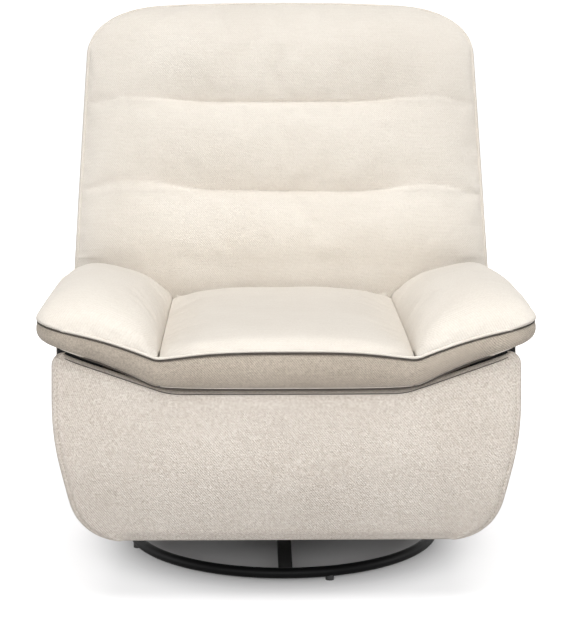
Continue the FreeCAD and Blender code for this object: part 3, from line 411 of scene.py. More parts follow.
@dataclass(frozen=True)
class PlainWeave:
    """Woven tape, dust cloth or sewing thread."""

    name: str
    light: Colour
    dark: Colour
    thread: float = 0.0022
    roughness: float = 0.85
    roughness_spread: float = 0.1
    relief: float = 0.0004

    def material(self) -> bpy.types.Material:
        """Build the weave on object coordinates.

        Returns:
            The finished material.
        """
        graph = Graph(self.name)
        across, along, up = graph.split(graph.solid())
        pitch = 2 * math.pi / self.thread
        warp = (across * pitch).sine()
        weft = ((along + up) * pitch).sine()
        weave = (warp * weft) * 0.5 + 0.5
        graph.feed("Base Color", graph.mix(weave, self.dark, self.light))
        graph.feed("Roughness", self.roughness + weave * self.roughness_spread)
        graph.bump(weave, self.relief, strength=0.7)
        return graph.material


# Curves and spacing


def clamp(value: float, low: float = 0.0, high: float = 1.0) -> float:
    """Value held between two limits."""
    return max(low, min(high, value))


def smooth(start: float, end: float, value: float) -> float:
    """Soft step from 0 at start to 1 at end."""
    share = clamp((value - start) / (end - start))
    return share * share * (3 - 2 * share)


def bell(value: float, width: float) -> float:
    """Rounded bump of height 1 about 0."""
    return math.exp(-(value / width) ** 2)


@dataclass(frozen=True)
class Rounding:
    """Pillow profile, which is 1 at share 0, and 0 at share 1 or -1."""

    power: float
    root: float

    def at(self, share: float) -> float:
        """Height at a share of the way to the edge."""
        return max(0.0, 1.0 - abs(share) ** self.power) ** self.root


QUARTER_ROUND = Rounding(2.0, 0.5)


@dataclass(frozen=True)
class Ripple:
    """Gentle unevenness of stuffed cloth."""

    scale: float
    depth: float

    def at(self, x: float, y: float, z: float) -> float:
        """Height of the unevenness at a place."""
        return self.depth * noise.noise(Vector((x, y, z)) * self.scale)


def graded(length: float, coarse: float, edge: Sequence[float]) -> list[float]:
    """Places from 0 to 1 along a length, close together near both ends.

    Args:
        length: real length in metres.
        coarse: step in the middle.
        edge: distances from an end that get a place of their own.

    Returns:
        Rising shares of the length.
    """
    near = [distance / length for distance in edge]
    last = near[-1]
    steps = max(1, round((1.0 - 2 * last) * length / coarse))
    middle = [last + (1.0 - 2 * last) * step / steps for step in range(steps + 1)]
    return near[:-1] + middle + [1.0 - place for place in reversed(near[:-1])]


def eased(path: list[Vector], passes: int) -> list[Vector]:
    """Round the kinks of a path by repeated averaging; the ends stay.

    Args:
        path: points of the path.
        passes: how often the points are averaged.

    Returns:
        The smoother path.
    """
    points = [point.copy() for point in path]
    for _ in range(passes):
        threes = zip(points, points[1:], points[2:])
        inner = [(before + here * 2 + after) / 4 for before, here, after in threes]
        points = [points[0], *inner, points[-1]]
    return points


@dataclass(frozen=True)
class Corner:
    """Corner of a flat outline with the radius of its rounding."""

    across: float
    up: float
    radius: float = 0.0

    def spot(self) -> Vector:
        """Place of the corner before it is rounded."""
        return Vector((self.across, self.up))


class Outline:
    """Open chain of lines and tangent arcs, sampled as points."""

    # Share of a line that one arc may take up
    longest_reach: float = 0.49

    def __init__(self, corners: Sequence[Corner], arc_steps: int = 14) -> None:
        """Sample the chain.

        Args:
            corners: its ends, and the corners between them.
            arc_steps: lines in each arc.
        """
        self.points: list[tuple[float, float]] = []
        for index, corner in enumerate(corners):
            here = corner.spot()
            if index in (0, len(corners) - 1) or corner.radius == 0:
                self.points.append((here.x, here.y))
                continue
            before = corners[index - 1].spot() - here
            after = corners[index + 1].spot() - here
            self._arc(here, before, after, corner.radius, arc_steps)
        self.lengths = [0.0]
        for first, second in zip(self.points, self.points[1:]):
            self.lengths.append(self.lengths[-1] + math.dist(first, second))

    def _arc(self, here: Vector, before: Vector, after: Vector, radius: float, steps: int) -> None:
        """Add the arc that rounds a corner.

        Args:
            here: the corner.
            before: way from it to the corner before.
            after: way from it to the next corner.
            radius: wanted radius, made smaller where a line is too short for it.
            steps: lines in the arc.
        """
        half = before.angle(after) / 2
        limit = self.longest_reach
        reach = min(radius / math.tan(half), limit * before.length, limit * after.length)
        radius = reach * math.tan(half)
        inward = (before.normalized() + after.normalized()).normalized()
        centre = here + inward * (radius / math.sin(half))
        start = here + before.normalized() * reach - centre
        sweep = start.angle_signed(here + after.normalized() * reach - centre)
        for step in range(steps + 1):
            angle = math.atan2(start.y, start.x) - sweep * step / steps
            x = centre.x + radius * math.cos(angle)
            self.points.append((x, centre.y + radius * math.sin(angle)))

    @property
    def length(self) -> float:
        """Length of the chain."""
        return self.lengths[-1]

    def at(self, share: float) -> tuple[float, float]:
        """Find a point by its distance along the chain.

        Args:
            share: share of the chain's length.

        Returns:
            The point, across and up.
        """
        want = clamp(share) * self.length
        for index in range(1, len(self.lengths)):
            if want <= self.lengths[index] or index == len(self.lengths) - 1:
                span = self.lengths[index] - self.lengths[index - 1]
                part = 0.0 if span == 0 else (want - self.lengths[index - 1]) / span
                first = self.points[index - 1]
                second = self.points[index]
                return (first[0] + (second[0] - first[0]) * part, first[1] + (second[1] - first[1]) * part)
        return self.points[-1]

    def up_at(self, across: float) -> float:
        """Find a height, where the chain runs on from left to right.

        Args:
            across: distance from the middle.

        Returns:
            Height of the chain there.
        """
        for first, second in zip(self.points, self.points[1:]):
            if first[0] <= across <= second[0]:
                run = max(second[0] - first[0], TINY)
                return first[1] + (second[1] - first[1]) * (across - first[0]) / run
        return self.points[-1][1]


# Meshes


def finished(mesh: bmesh.types.BMesh, name: str, material: bpy.types.Material,
             levels: int) -> bpy.types.Object:
    """Turn an edited mesh into a smooth object with one material.

    Args:
        mesh: the edited mesh, which is freed.
        name: name of the object.
        material: its finish.
        levels: subdivision levels.

    Returns:
        The object, at the origin.
    """
    bmesh.ops.recalc_face_normals(mesh, faces=mesh.faces)
    for face in mesh.faces:
        face.smooth = True
    data = bpy.data.meshes.new(name)
    mesh.to_mesh(data)
    mesh.free()
    data.materials.append(material)
    piece = bpy.data.objects.new(name, data)
    bpy.context.scene.collection.objects.link(piece)
    if levels:
        subdivide = piece.modifiers.new("round", "SUBSURF")
        subdivide.levels = levels
        subdivide.render_levels = levels
    return piece


def place(piece: bpy.types.Object, body: Ride, slot: Slot, *nodes: str,
          fill: float = 0.0) -> bpy.types.Object:
    """Put a new piece on its body, and hide the construction nodes that it replaces.

    Args:
        piece: the new object.
        body: body that it moves with.
        slot: material slot of the record; not used.
        nodes: construction nodes that it replaces.
        fill: how tightly it is padded, or 0 for a piece that isn't padded; not used.

    Returns:
        The piece.
    """
    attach(piece, body.value)
    if nodes:
        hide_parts(*nodes)
    return piece


def patch(mesh: bmesh.types.BMesh, cloth: bmesh.types.BMLayerItem, corners: Ring, spots: Profile) -> None:
    """Add one face of cloth.

    Args:
        mesh: the edited mesh.
        cloth: its flat coordinates.
        corners: the face's vertices in order.
        spots: flat place of each corner.
    """
    made = mesh.faces.new(corners)
    for loop, spot in zip(made.loops, spots):
        loop[cloth].uv = spot


def tube(mesh: bmesh.types.BMesh, cloth: bmesh.types.BMLayerItem, rings: list[Ring],
         runs: Sequence[float], turns: Sequence[float], closed: bool = False) -> None:
    """Skin a row of rings with cloth, and cap its ends.

    Args:
        mesh: the edited mesh.
        cloth: its flat coordinates.
        rings: vertices of each ring.
        runs: distance along the tube at each ring, and once more at the end of a closed tube.
        turns: distance round the tube at each vertex, and once more back at the first.
        closed: whether the last ring meets the first.
    """
    for index in range(len(runs) - 1):
        here = rings[index]
        beyond = rings[(index + 1) % len(rings)]
        for step in range(len(here)):
            turn = (step + 1) % len(here)
            spots = [(runs[index], turns[step]), (runs[index], turns[step + 1]),
                     (runs[index + 1], turns[step + 1]), (runs[index + 1], turns[step])]
            patch(mesh, cloth, [here[step], here[turn], beyond[turn], beyond[step]], spots)
    if not closed:
        mesh.faces.new(list(reversed(rings[0])))
        mesh.faces.new(rings[-1])


@dataclass(frozen=True)
class Stuffing:
    """Filling that presses a sewn cover outwards, as a short cloth simulation."""

    pressure: float = 4.0
    frames: int = 20
    quality: int = 4
    farthest: float = 0.022
    growth: float = 0.03
    mass: float = 0.4
    stiffness: float = 12.0
    shear_share: float = 0.4
    bending: float = 0.4

    def fill(self, piece: bpy.types.Object, held: Sequence[float]) -> None:
        """Puff a cover up from its seams and keep the result as its mesh.

        Args:
            piece: the cover, with its subdivision already added.
            held: for each vertex, how firmly it is sewn down, from 0 to 1.
        """
        start = [vert.co.copy() for vert in piece.data.vertices]
        seams = piece.vertex_groups.new(name="seams")
        for index, weight in enumerate(held):
            seams.add([index], weight, "REPLACE")
        for modifier in piece.modifiers:
            modifier.show_viewport = False
        cloth = piece.modifiers.new("stuffing", "CLOTH")
        self._tune(cloth, seams.name)
        scene = bpy.context.scene
        for number in range(1, self.frames + 1):
            scene.frame_set(number)
        shown = piece.evaluated_get(bpy.context.evaluated_depsgraph_get())
        for vert, old, new in zip(piece.data.vertices, start, shown.data.vertices):
            move = new.co - old
            if move.length > self.farthest:
                move = move.normalized() * self.farthest
            vert.co = old + move
        piece.modifiers.remove(cloth)
        piece.vertex_groups.remove(seams)
        for modifier in piece.modifiers:
            modifier.show_viewport = True
        scene.frame_set(1)

    def _tune(self, cloth: bpy.types.ClothModifier, seams: str) -> None:
        """Set the cloth up.

        Args:
            cloth: the simulation.
            seams: name of the vertex group that is sewn down.
        """
        settings = cloth.settings
        settings.quality = self.quality
        settings.mass = self.mass
        settings.tension_stiffness = self.stiffness
        settings.compression_stiffness = self.stiffness
        settings.shear_stiffness = self.shear_share * self.stiffness
        settings.bending_stiffness = self.bending
        settings.use_pressure = True
        settings.uniform_pressure_force = self.pressure
        settings.vertex_group_mass = seams
        settings.shrink_min = -self.growth
        settings.effector_weights.gravity = 0.0
        cloth.point_cache.frame_start = 1
        cloth.point_cache.frame_end = self.frames


@dataclass
class PaddedForm:
    """Closed cushion: a shaped face, a plain back, and a boxed edge between them.

    The face and the back are functions of a share across and a share along. The edge profile
    is a list of pairs: how far from the face to the back, and how far outwards in metres.
    """

    name: str
    face: Point
    back: Point
    across: list[float]
    along: list[float]
    edge: Profile
    levels: int = 1
    recess: Callable[[Vector], float] = lambda rim_point: 1.0
    stuffing: Stuffing | None = None
    sewn: Callable[[float, float], float] = lambda a, b: 0.0
    rim: list[Vector] = field(default_factory=list)

    @property
    def last(self) -> tuple[int, int]:
        """Number of the last column and of the last row."""
        return len(self.across) - 1, len(self.along) - 1

    def border(self) -> list[tuple[int, int]]:
        """Go round the grid's border.

        Returns:
            Columns and rows of the border, in order.
        """
        last_across, last_along = self.last
        places = [(column, 0) for column in range(last_across)]
        places += [(last_across, row) for row in range(last_along)]
        places += [(column, last_along) for column in range(last_across, 0, -1)]
        places += [(0, row) for row in range(last_along, 0, -1)]
        return places

    def inner(self, column: int, row: int) -> tuple[int, int]:
        """Nearest place that is one step inside the border."""
        last_across, last_along = self.last
        return min(max(column, 1), last_across - 1), min(max(row, 1), last_along - 1)

    def build(self, material: bpy.types.Material) -> bpy.types.Object:
        """Make the cushion.

        Args:
            material: its cloth.

        Returns:
            The finished object.
        """
        mesh = bmesh.new()
        cloth = mesh.loops.layers.uv.new("cloth")
        face_points = [[self.face(a, b) for b in self.along] for a in self.across]
        back_points = [[self.back(a, b) for b in self.along] for a in self.across]
        face_verts = [[mesh.verts.new(point) for point in column] for column in face_points]
        self._sheet(mesh, cloth, face_points, face_verts, False)
        places = self.border()
        rings = [[face_verts[a][b] for a, b in places]]
        self.rim = [face_points[a][b].copy() for a, b in places]
        outward = []
        for a, b in places:
            column, row = self.inner(a, b)
            direction = face_points[a][b] - face_points[column][row]
            down = back_points[a][b] - face_points[a][b]
            if down.length > TINY:
                direction -= down * (direction.dot(down) / down.length_squared)
            outward.append(direction.normalized())
        for share, out in self.edge:
            ring = []
            for index, (a, b) in enumerate(places):
                reach = outward[index] * (out * self.recess(face_points[a][b]))
                point = face_points[a][b].lerp(back_points[a][b], share) + reach
                ring.append(mesh.verts.new(point))
            rings.append(ring)
        back_verts = [[mesh.verts.new(point) for point in column] for column in back_points]
        self._sheet(mesh, cloth, back_points, back_verts, True)
        rings.append([back_verts[a][b] for a, b in places])
        self._wall(mesh, cloth, rings)
        piece = finished(mesh, self.name, material, self.levels)
        if self.stuffing:
            self.stuffing.fill(piece, self._held(len(piece.data.vertices)))
        return piece

    def _held(self, count: int) -> list[float]:
        """Find how firmly each vertex is sewn down.

        Args:
            count: number of vertices, of which the face's come first.

        Returns:
            A share for each vertex; all but the inside of the face are held fast.
        """
        border = set(self.border())
        held = []
        for a, across in enumerate(self.across):
            for b, along in enumerate(self.along):
                held.append(1.0 if (a, b) in border else self.sewn(across, along))
        return held + [1.0] * (count - len(held))

    @staticmethod
    def _flat(points: list[list[Vector]]) -> list[list[tuple[float, float]]]:
        """Unroll a grid of points.

        Args:
            points: columns of the grid.

        Returns:
            For each point, its distance from the middle column and along that column.
        """
        middle = len(points) // 2
        rows = len(points[0])
        along = [0.0]
        for row in range(1, rows):
            along.append(along[-1] + (points[middle][row] - points[middle][row - 1]).length)
        flat = [[(0.0, along[row]) for row in range(rows)] for _ in points]
        for row in range(rows):
            run = 0.0
            for column in range(middle + 1, len(points)):
                run += (points[column][row] - points[column - 1][row]).length
                flat[column][row] = (run, along[row])
            run = 0.0
            for column in range(middle - 1, -1, -1):
                run -= (points[column][row] - points[column + 1][row]).length
                flat[column][row] = (run, along[row])
        return flat

    def _sheet(self, mesh: bmesh.types.BMesh, cloth: bmesh.types.BMLayerItem, points: list[list[Vector]],
               verts: list[Ring], flipped: bool) -> None:
        """Add the faces of one side of the cushion.

        Args:
            mesh: the edited mesh.
            cloth: its flat coordinates.
            points: columns of the side's grid.
            verts: vertices at the points.
            flipped: whether the faces turn the other way.
        """
        flat = self._flat(points)
        for column in range(len(verts) - 1):
            for row in range(len(verts[0]) - 1):
                places = [(column, row), (column + 1, row), (column + 1, row + 1), (column, row + 1)]
                if flipped:
                    places.reverse()
                corners = [verts[a][b] for a, b in places]
                patch(mesh, cloth, corners, [flat[a][b] for a, b in places])

    @staticmethod
    def _wall(mesh: bmesh.types.BMesh, cloth: bmesh.types.BMLayerItem, rings: list[Ring]) -> None:
        """Add the faces of the boxed edge.

        Args:
            mesh: the edited mesh.
            cloth: its flat coordinates.
            rings: vertices round the edge, from the face to the back.
        """
        count = len(rings[0])
        run = [0.0]
        for index in range(1, count + 1):
            run.append(run[-1] + (rings[0][index % count].co - rings[0][index - 1].co).length)
        depth = 0.0
        for upper, lower in zip(rings, rings[1:]):
            step = (lower[0].co - upper[0].co).length
            for index in range(count):
                following = (index + 1) % count
                corners = [upper[index], lower[index], lower[following], upper[following]]
                spots = [(run[index], depth), (run[index], depth + step),
                         (run[index + 1], depth + step), (run[index + 1], depth)]
                patch(mesh, cloth, corners, spots)
            depth += step


@dataclass
class Piping:
    """Round cord or thread along a seam."""

    name: str
    path: list[Vector]
    radius: float
    closed: bool = False
    sides: int = 8

    def build(self, material: bpy.types.Material) -> bpy.types.Object:
        """Sweep a circle along the path.

        Args:
            material: its cloth.

        Returns:
            The finished object.
        """
        mesh = bmesh.new()
        cloth = mesh.loops.layers.uv.new("cloth")
        count = len(self.path)
        rings = []
        normal = Vector((0.0, 0.0, 1.0))
        for index, point in enumerate(self.path):
            before = self.path[index - 1] if index or self.closed else point
            after = self.path[(index + 1) % count] if index < count - 1 or self.closed else point
            tangent = (after - before).normalized()
            normal = (normal - tangent * normal.dot(tangent)).normalized()
            side = tangent.cross(normal)
            ring = []
            for step in range(self.sides):
                angle = 2 * math.pi * step / self.sides
                spoke = normal * math.cos(angle) + side * math.sin(angle)
                ring.append(mesh.verts.new(point + spoke * self.radius))
            rings.append(ring)
        runs = [0.0]
        spans = count if self.closed else count - 1
        for index in range(spans):
            runs.append(runs[-1] + (self.path[(index + 1) % count] - self.path[index]).length)
        arc = 2 * math.pi * self.radius / self.sides
        turns = [arc * step for step in range(self.sides + 1)]
        tube(mesh, cloth, rings, runs, turns, self.closed)
        return finished(mesh, self.name, material, 1)


@dataclass
class Boxing:
    """Padded strip of cloth between two seams, closed at its ends.

    The section is a list of pairs: share of the way down, and how far outwards in metres. Where
    the lower seam is set in, the strip bulges by a part of that distance.
    """

    name: str
    upper: list[Vector]
    lower: list[Vector]
    middle: Vector
    section: Profile
    cheek: float = 1.08

    def build(self, material: bpy.types.Material) -> bpy.types.Object:
        """Sweep the section along the seams.

        Args:
            material: its cloth.

        Returns:
            The finished object.
        """
        mesh = bmesh.new()
        cloth = mesh.loops.layers.uv.new("cloth")
        last = len(self.upper) - 1
        rings = []
        runs = [0.0]
        for index, (top, bottom) in enumerate(zip(self.upper, self.lower)):
            tangent = self.upper[min(index + 1, last)] - self.upper[max(index - 1, 0)]
            outward = Vector((tangent.y, -tangent.x, 0.0)).normalized()
            if outward.dot(top - self.middle) < 0:
                outward = -outward
            inset = max(0.0, (top - bottom).dot(outward))
            ring = []
            for share, out in self.section:
                bulge = self.cheek * inset * share * (1 - share ** 4)
                ring.append(mesh.verts.new(top.lerp(bottom, share) + outward * (out + bulge)))
            rings.append(ring)
            if index:
                runs.append(runs[-1] + (top - self.upper[index - 1]).length)
        height = (self.upper[last // 2] - self.lower[last // 2]).length
        drops = [-share * height for share, _ in self.section]
        tube(mesh, cloth, rings, runs, [*drops, drops[0]])
        return finished(mesh, self.name, material, 1)


@dataclass
class Stitches:
    """Row of short raised threads along a seam."""

    name: str
    path: list[Vector]
    pitch: float = 0.0072
    length: float = 0.0046
    radius: float = 0.0008

    def build(self, material: bpy.types.Material) -> bpy.types.Object:
        """Set one long bead per stitch on the path.

        Args:
            material: the thread.

        Returns:
            The finished object.
        """
        mesh = bmesh.new()
        scale = Matrix.Diagonal((self.radius, self.radius, self.length / 2, 1.0))
        left = 0.0
        for first, second in zip(self.path, self.path[1:]):
            span = second - first
            turn = span.to_track_quat("Z", "Y").to_matrix().to_4x4()
            while left < span.length:
                spot = Matrix.Translation(first.lerp(second, left / span.length))
                bmesh.ops.create_icosphere(mesh, subdivisions=1, radius=1.0, matrix=spot @ turn @ scale)
                left += self.pitch
            left -= span.length
        return finished(mesh, self.name, material, 0)


# Upholstery


@dataclass
class SeatForms:
    """Seat cushion and the two winged arm pads, with the boxing that runs round their fronts."""

    cloth: bpy.types.Material
    # Darker copy of the cover cloth for the boxing, painted shade under the seat's edge
    shaded_band_cloth: bpy.types.Material
    # Dark cord cloth: partly a dark seam, partly painted shade in the seams' grooves and gaps
    thread: bpy.types.Material
    half: float = 0.222
    front: float = -0.455
    rear: float = 0.126
    base: float = 0.3945
    gap: float = 0.0003
    tuck: float = 0.015
    tuck_run: float = 0.2
    stuffing: Stuffing = Stuffing(farthest=0.007, growth=0.018)
    edge: Profile = ((0.03, -0.004), (0.10, -0.010), (0.5, -0.012), (0.9, -0.010))
    boxed_depth: float = 0.06
    boxed_from: float = 0.3
    # Seat
    seam_middle: float = 0.4656
    seam_side: float = 0.4503
    crown: float = 0.4845
    crown_round: Rounding = Rounding(3.0, 0.7)
    crease_rear: float = 0.455
    crease_run: float = -0.2
    lip_run: float = 0.135
    lip_round: Rounding = Rounding(2.4, 0.62)
    lip_bow: float = 0.004
    fall_past: float = 0.05
    fall_round: Rounding = Rounding(2.2, 0.8)
    under_lift: float = 0.004
    seat_ripple: Ripple = Ripple(9.0, 0.0022)
    pucker: float = 0.0035
    pucker_share: float = 0.80
    pucker_wide: float = 0.045
    pucker_y: float = -0.36
    pucker_slant: float = 0.10
    pucker_long: float = 0.09
    seat_cells: tuple[float, float] = (0.011, 0.012)
    # Arm pads
    arm_rear: float = 0.146
    arm_half: float = 0.4355
    arm_corner: float = 0.052
    arm_draw: float = 0.012
    arm_draw_from: float = 0.05
    arm_seam_tip: float = 0.5126
    arm_seam_drop: float = 0.006
    arm_seam_drop_run: tuple[float, float] = (-0.3, 0.15)
    arm_seam_bow: float = 0.0068
    arm_seam_skew: float = 0.9
    arm_crown: float = 0.066
    arm_inner_round: Rounding = Rounding(3.0, 0.5)
    arm_outer_round: Rounding = Rounding(2.2, 0.56)
    arm_front_run: float = 0.17
    arm_front_round: Rounding = Rounding(2.4, 0.52)
    arm_slope: float = 0.62
    arm_slope_from: float = -0.20
    arm_slope_run: float = 0.36
    arm_slope_power: float = 1.2
    arm_rear_from: float = 0.06
    arm_rear_past: float = 0.004
    arm_rear_round: Rounding = Rounding(3.0, 0.5)
    arm_rear_least: float = 0.35
    arm_ripple: Ripple = Ripple(11.0, 0.0022)
    arm_ripple_apart: float = 4.0
    fold: float = 0.004
    fold_share: float = -0.30
    fold_slant: float = 0.9
    fold_y: float = -0.33
    fold_wide: float = 0.16
    fold_end: float = -0.36
    fold_long: float = 0.07
    under_mid: tuple[float, float] = (0.300, 0.433)
    under_tip: tuple[float, float] = (0.405, 0.465)
    under_gap: float = 0.0005
    arm_cells: tuple[float, float] = (0.009, 0.011)
    # Boxing and its cords
    band_middle: tuple[float, float, float] = (0.0, 0.0, 0.45)
    seam_step: float = 0.02
    seam_edge: tuple[float, ...] = (0.0, 0.01, 0.02, 0.03, 0.045, 0.06, 0.08)
    upper_passes: int = 10
    lower_passes: int = 44
    boxing: Profile = (
        (0.085, -0.009), (0.085, -0.004), (0.11, -0.0012), (0.16, 0.0004), (0.30, 0.0016), (0.50, 0.0022),
        (0.70, 0.0018), (0.86, 0.0), (0.95, -0.0025), (1.0, -0.007), (0.98, -0.013), (0.55, -0.0105),
    )
    rim_radius: float = 0.0027
    rim_shift: tuple[float, float, float] = (0.0, 0.0008, 0.0004)
    thread_radius: float = 0.0015
    thread_shift: tuple[float, float, float] = (0.0, 0.0004, -0.0044)
    hem_radius: float = 0.0016
    hem_shift: tuple[float, float, float] = (0.0, -0.0008, -0.0006)

    def crease(self, y: float) -> float:
        """Height of the crease between the seat and an arm pad."""
        return self.seam_side + (self.crease_rear - self.seam_side) * smooth(self.front, self.crease_run, y)

    def seat_face(self, a: float, b: float) -> Vector:
        """Shape the top of the seat: low at the front seam and the creases, full in the middle.

        Args:
            a: share across, from the left.
            b: share along, from the front.

        Returns:
            The point.
        """
        s = 2 * a - 1
        x = s * (self.half - self.gap)
        y = self.front + (self.rear - self.front) * b
        lip = self.seam_middle - (self.seam_middle - self.seam_side) * abs(s) ** 3
        rise = self.lip_round.at(1 - clamp((y - self.front) / self.lip_run))
        fall = self.fall_round.at(clamp(y / (self.rear + self.fall_past)))
        low = self.crease(y)
        top = low + (self.crown - low) * self.crown_round.at(s) * fall
        z = lip + (top - lip) * rise
        z += self.seat_ripple.at(x, y, 0.0) * rise * (1 - abs(s) ** 4)
        aside = abs(s) - self.pucker_share
        along = y - self.pucker_y + self.pucker_slant * aside
        z -= self.pucker * bell(aside, self.pucker_wide) * bell(along, self.pucker_long)
        return Vector((x, y - self.lip_bow * (1 - s * s) * (1 - rise), z))

    def seat_under(self, a: float, b: float) -> Vector:
        """Shape the underside of the seat.

        Args:
            a: share across, from the left.
            b: share along, from the front.

        Returns:
            The point.
        """
        x = (2 * a - 1) * (self.half - self.gap)
        y = self.front + (self.rear - self.front) * b
        return Vector((x, y + self.tucked(b), self.base + self.under_lift * abs(2 * a - 1) ** 6))

    def boxed(self, rim_point: Vector) -> float:
        """How far a wall draws in: all the way behind the boxing, and not at all in the creases."""
        near_front = rim_point.y < self.front + self.boxed_depth
        return 1.0 if near_front or abs(rim_point.x) > self.boxed_from else 0.0

    def tucked(self, b: float) -> float:
        """How far the underside is set back at the front."""
        return self.tuck * (1 - smooth(0.0, self.tuck_run, b))

    def under(self, x: float) -> float:
        """Shape the underside of an arm pad.

        Args:
            x: distance from the middle plane.

        Returns:
            Height of the underside.
        """
        share = (x - self.half) / (self.under_tip[0] - self.half)
        middle = (self.under_mid[0] - self.half) / (self.under_tip[0] - self.half)
        straight = self.base + (self.under_tip[1] - self.base) * share
        sag = self.under_mid[1] - (self.base + (self.under_tip[1] - self.base) * middle)
        return straight + sag * share * (1 - share) / (middle * (1 - middle))

    def arm_reach(self, y: float) -> float:
        """Find the outer seam, which is drawn in at the front corner and a little at the rear.

        Args:
            y: place along the arm.

        Returns:
            Distance of the seam from the middle plane.
        """
        corner = self.arm_corner
        ahead = clamp(corner - (y - self.front), 0.0, corner)
        behind = clamp((y - self.arm_draw_from) / (self.arm_rear - self.arm_draw_from))
        return self.arm_half - corner + math.sqrt(corner ** 2 - ahead ** 2) - self.arm_draw * behind ** 2

    def arm_seam(self, x: float, y: float) -> float:
        """Find the line from the crease to the wing tip, on which the pad is puffed up.

        Args:
            x: distance from the middle plane.
            y: place along the arm.

        Returns:
            Height of the line.
        """
        share = (x - self.half) / (self.arm_half - self.half)
        tip = self.arm_seam_tip - self.arm_seam_drop * smooth(*self.arm_seam_drop_run, y)
        low = self.crease(y)
        bow = self.arm_seam_bow * math.sin(math.pi * share ** self.arm_seam_skew)
        return low + (tip - low) * share + bow

    def arm_face(self, side: int) -> Point:
        """Shape the top of an arm pad: steep from the crease, long and easy to the wing tip.

        Args:
            side: 1 for the right arm, -1 for the left.

        Returns:
            Function of a share outwards and a share to the rear.
        """
        def point(a: float, b: float) -> Vector:
            """Place a point on the top of the pad.

            Args:
                a: share outwards, from the crease.
                b: share to the rear.

            Returns:
                The point.
            """
            y = self.front + (self.arm_rear - self.front) * b
            reach = self.arm_reach(y)
            x = self.half + self.gap + (reach - self.half - self.gap) * a
            seam = self.arm_seam(x, y)
            s = 2 * a - 1
            puff = self.arm_inner_round.at(s) if s < 0 else self.arm_outer_round.at(s)
            front = self.arm_front_round.at(1 - clamp((y - self.front) / self.arm_front_run))
            far = clamp((y - self.arm_slope_from) / self.arm_slope_run)
            slope = 1.0 - self.arm_slope * far ** self.arm_slope_power
            rear_run = self.arm_rear + self.arm_rear_past - self.arm_rear_from
            rear = self.arm_rear_round.at(clamp((y - self.arm_rear_from) / rear_run))
            least = self.arm_rear_least
            lift = self.arm_crown * puff * front * slope * (least + (1 - least) * rear)
            lift += self.arm_ripple.at(x, y, self.arm_ripple_apart * side) * puff * front
            slant = s - self.fold_share - self.fold_slant * (y - self.fold_y)
            creased = bell(slant, self.fold_wide) * bell(y - self.fold_end, self.fold_long)
            return Vector((side * x, y, seam + lift - self.fold * creased * front))
        return point

    def arm_under(self, side: int) -> Point:
        """Shape the underside of an arm pad.

        Args:
            side: 1 for the right arm, -1 for the left.

        Returns:
            Function of a share outwards and a share to the rear.
        """
        def point(a: float, b: float) -> Vector:
            """Place a point on the underside of the pad.

            Args:
                a: share outwards, from the crease.
                b: share to the rear.

            Returns:
                The point.
            """
            y = self.front + (self.arm_rear - self.front) * b
            reach = self.arm_reach(y) - (self.arm_half - self.under_tip[0])
            x = self.half + self.gap + (reach - self.half - self.gap) * a
            return Vector((side * x, y + self.tucked(b), self.under(x) + self.under_gap))
        return point

    def build(self) -> list[bpy.types.Object]:
        """Make the seat, the arm pads and the boxing with its cords.

        Returns:
            The new pieces.
        """
        across, along = self.seat_cells
        seat = PaddedForm(
            "seat", self.seat_face, self.seat_under, graded(2 * self.half, across, SOFT_EDGE),
            graded(self.rear - self.front, along, SOFT_EDGE), self.edge,
            recess=self.boxed, stuffing=self.stuffing)
        pieces = [place(seat.build(self.cloth), Ride.CHASSIS, Slot.COVER, "seat_cushion", fill=0.85)]
        across, along = self.arm_cells
        for side, label in SIDES:
            arm = PaddedForm(
                f"arm_{label}", self.arm_face(side), self.arm_under(side),
                graded(self.arm_half - self.half, across, SOFT_EDGE),
                graded(self.arm_rear - self.front, along, SOFT_EDGE), self.edge,
                recess=self.boxed, stuffing=self.stuffing)
            piece = arm.build(self.cloth)
            pieces.append(place(piece, Ride.CHASSIS, Slot.COVER, f"arm_pad_{label}", fill=0.9))
        return pieces + self.band()

    def seams(self) -> tuple[list[Vector], list[Vector]]:
        """Follow the seams of the boxing, from the rear of one arm round the front to the other.

        Returns:
            The upper and the lower seam.
        """
        rows = graded(1.0, self.seam_step, self.seam_edge)
        halves = ([], [])
        for side in (-1, 1):
            for line, form in zip(halves, (self.arm_face(side), self.arm_under(side))):
                flank = [form(1.0, b) for b in reversed(rows)]
                flank += [form(a, 0.0) for a in reversed(rows[1:-1])]
                line.append(flank if side < 0 else list(reversed(flank)))
        upper, lower = (
            [*line[0], *(form(a, 0.0) for a in rows[1:-1]), *line[1]]
            for line, form in zip(halves, (self.seat_face, self.seat_under)))
        return eased(upper, self.upper_passes), eased(lower, self.lower_passes)

    def band(self) -> list[bpy.types.Object]:
        """Make the boxing, in its darker cloth of painted shade, with a rolled rim over it and a dark cord
        in both seams that is partly seam and partly painted shade.

        Returns:
            The new pieces.
        """
        upper, lower = self.seams()
        boxing = Boxing("boxing", upper, lower, Vector(self.band_middle), self.boxing)
        pieces = [place(boxing.build(self.shaded_band_cloth), Ride.CHASSIS, Slot.COVER, fill=0.6)]
        # The dark cords are partly painted shade: the upper one is partly a dark seam and partly the shade
        # in its groove, and the lower one is the shade of the gap under the boxing
        cords = (
            ("seam_rim", upper, self.rim_shift, self.rim_radius, self.cloth),
            ("dark_seam_and_painted_shade", upper, self.thread_shift, self.thread_radius, self.thread),
            ("hem_painted_shade", lower, self.hem_shift, self.hem_radius, self.thread),
        )
        for name, seam, shift, radius, finish in cords:
            cord = Piping(name, [point + Vector(shift) for point in seam], radius)
            pieces.append(place(cord.build(finish), Ride.CHASSIS, Slot.COVER))
        return pieces


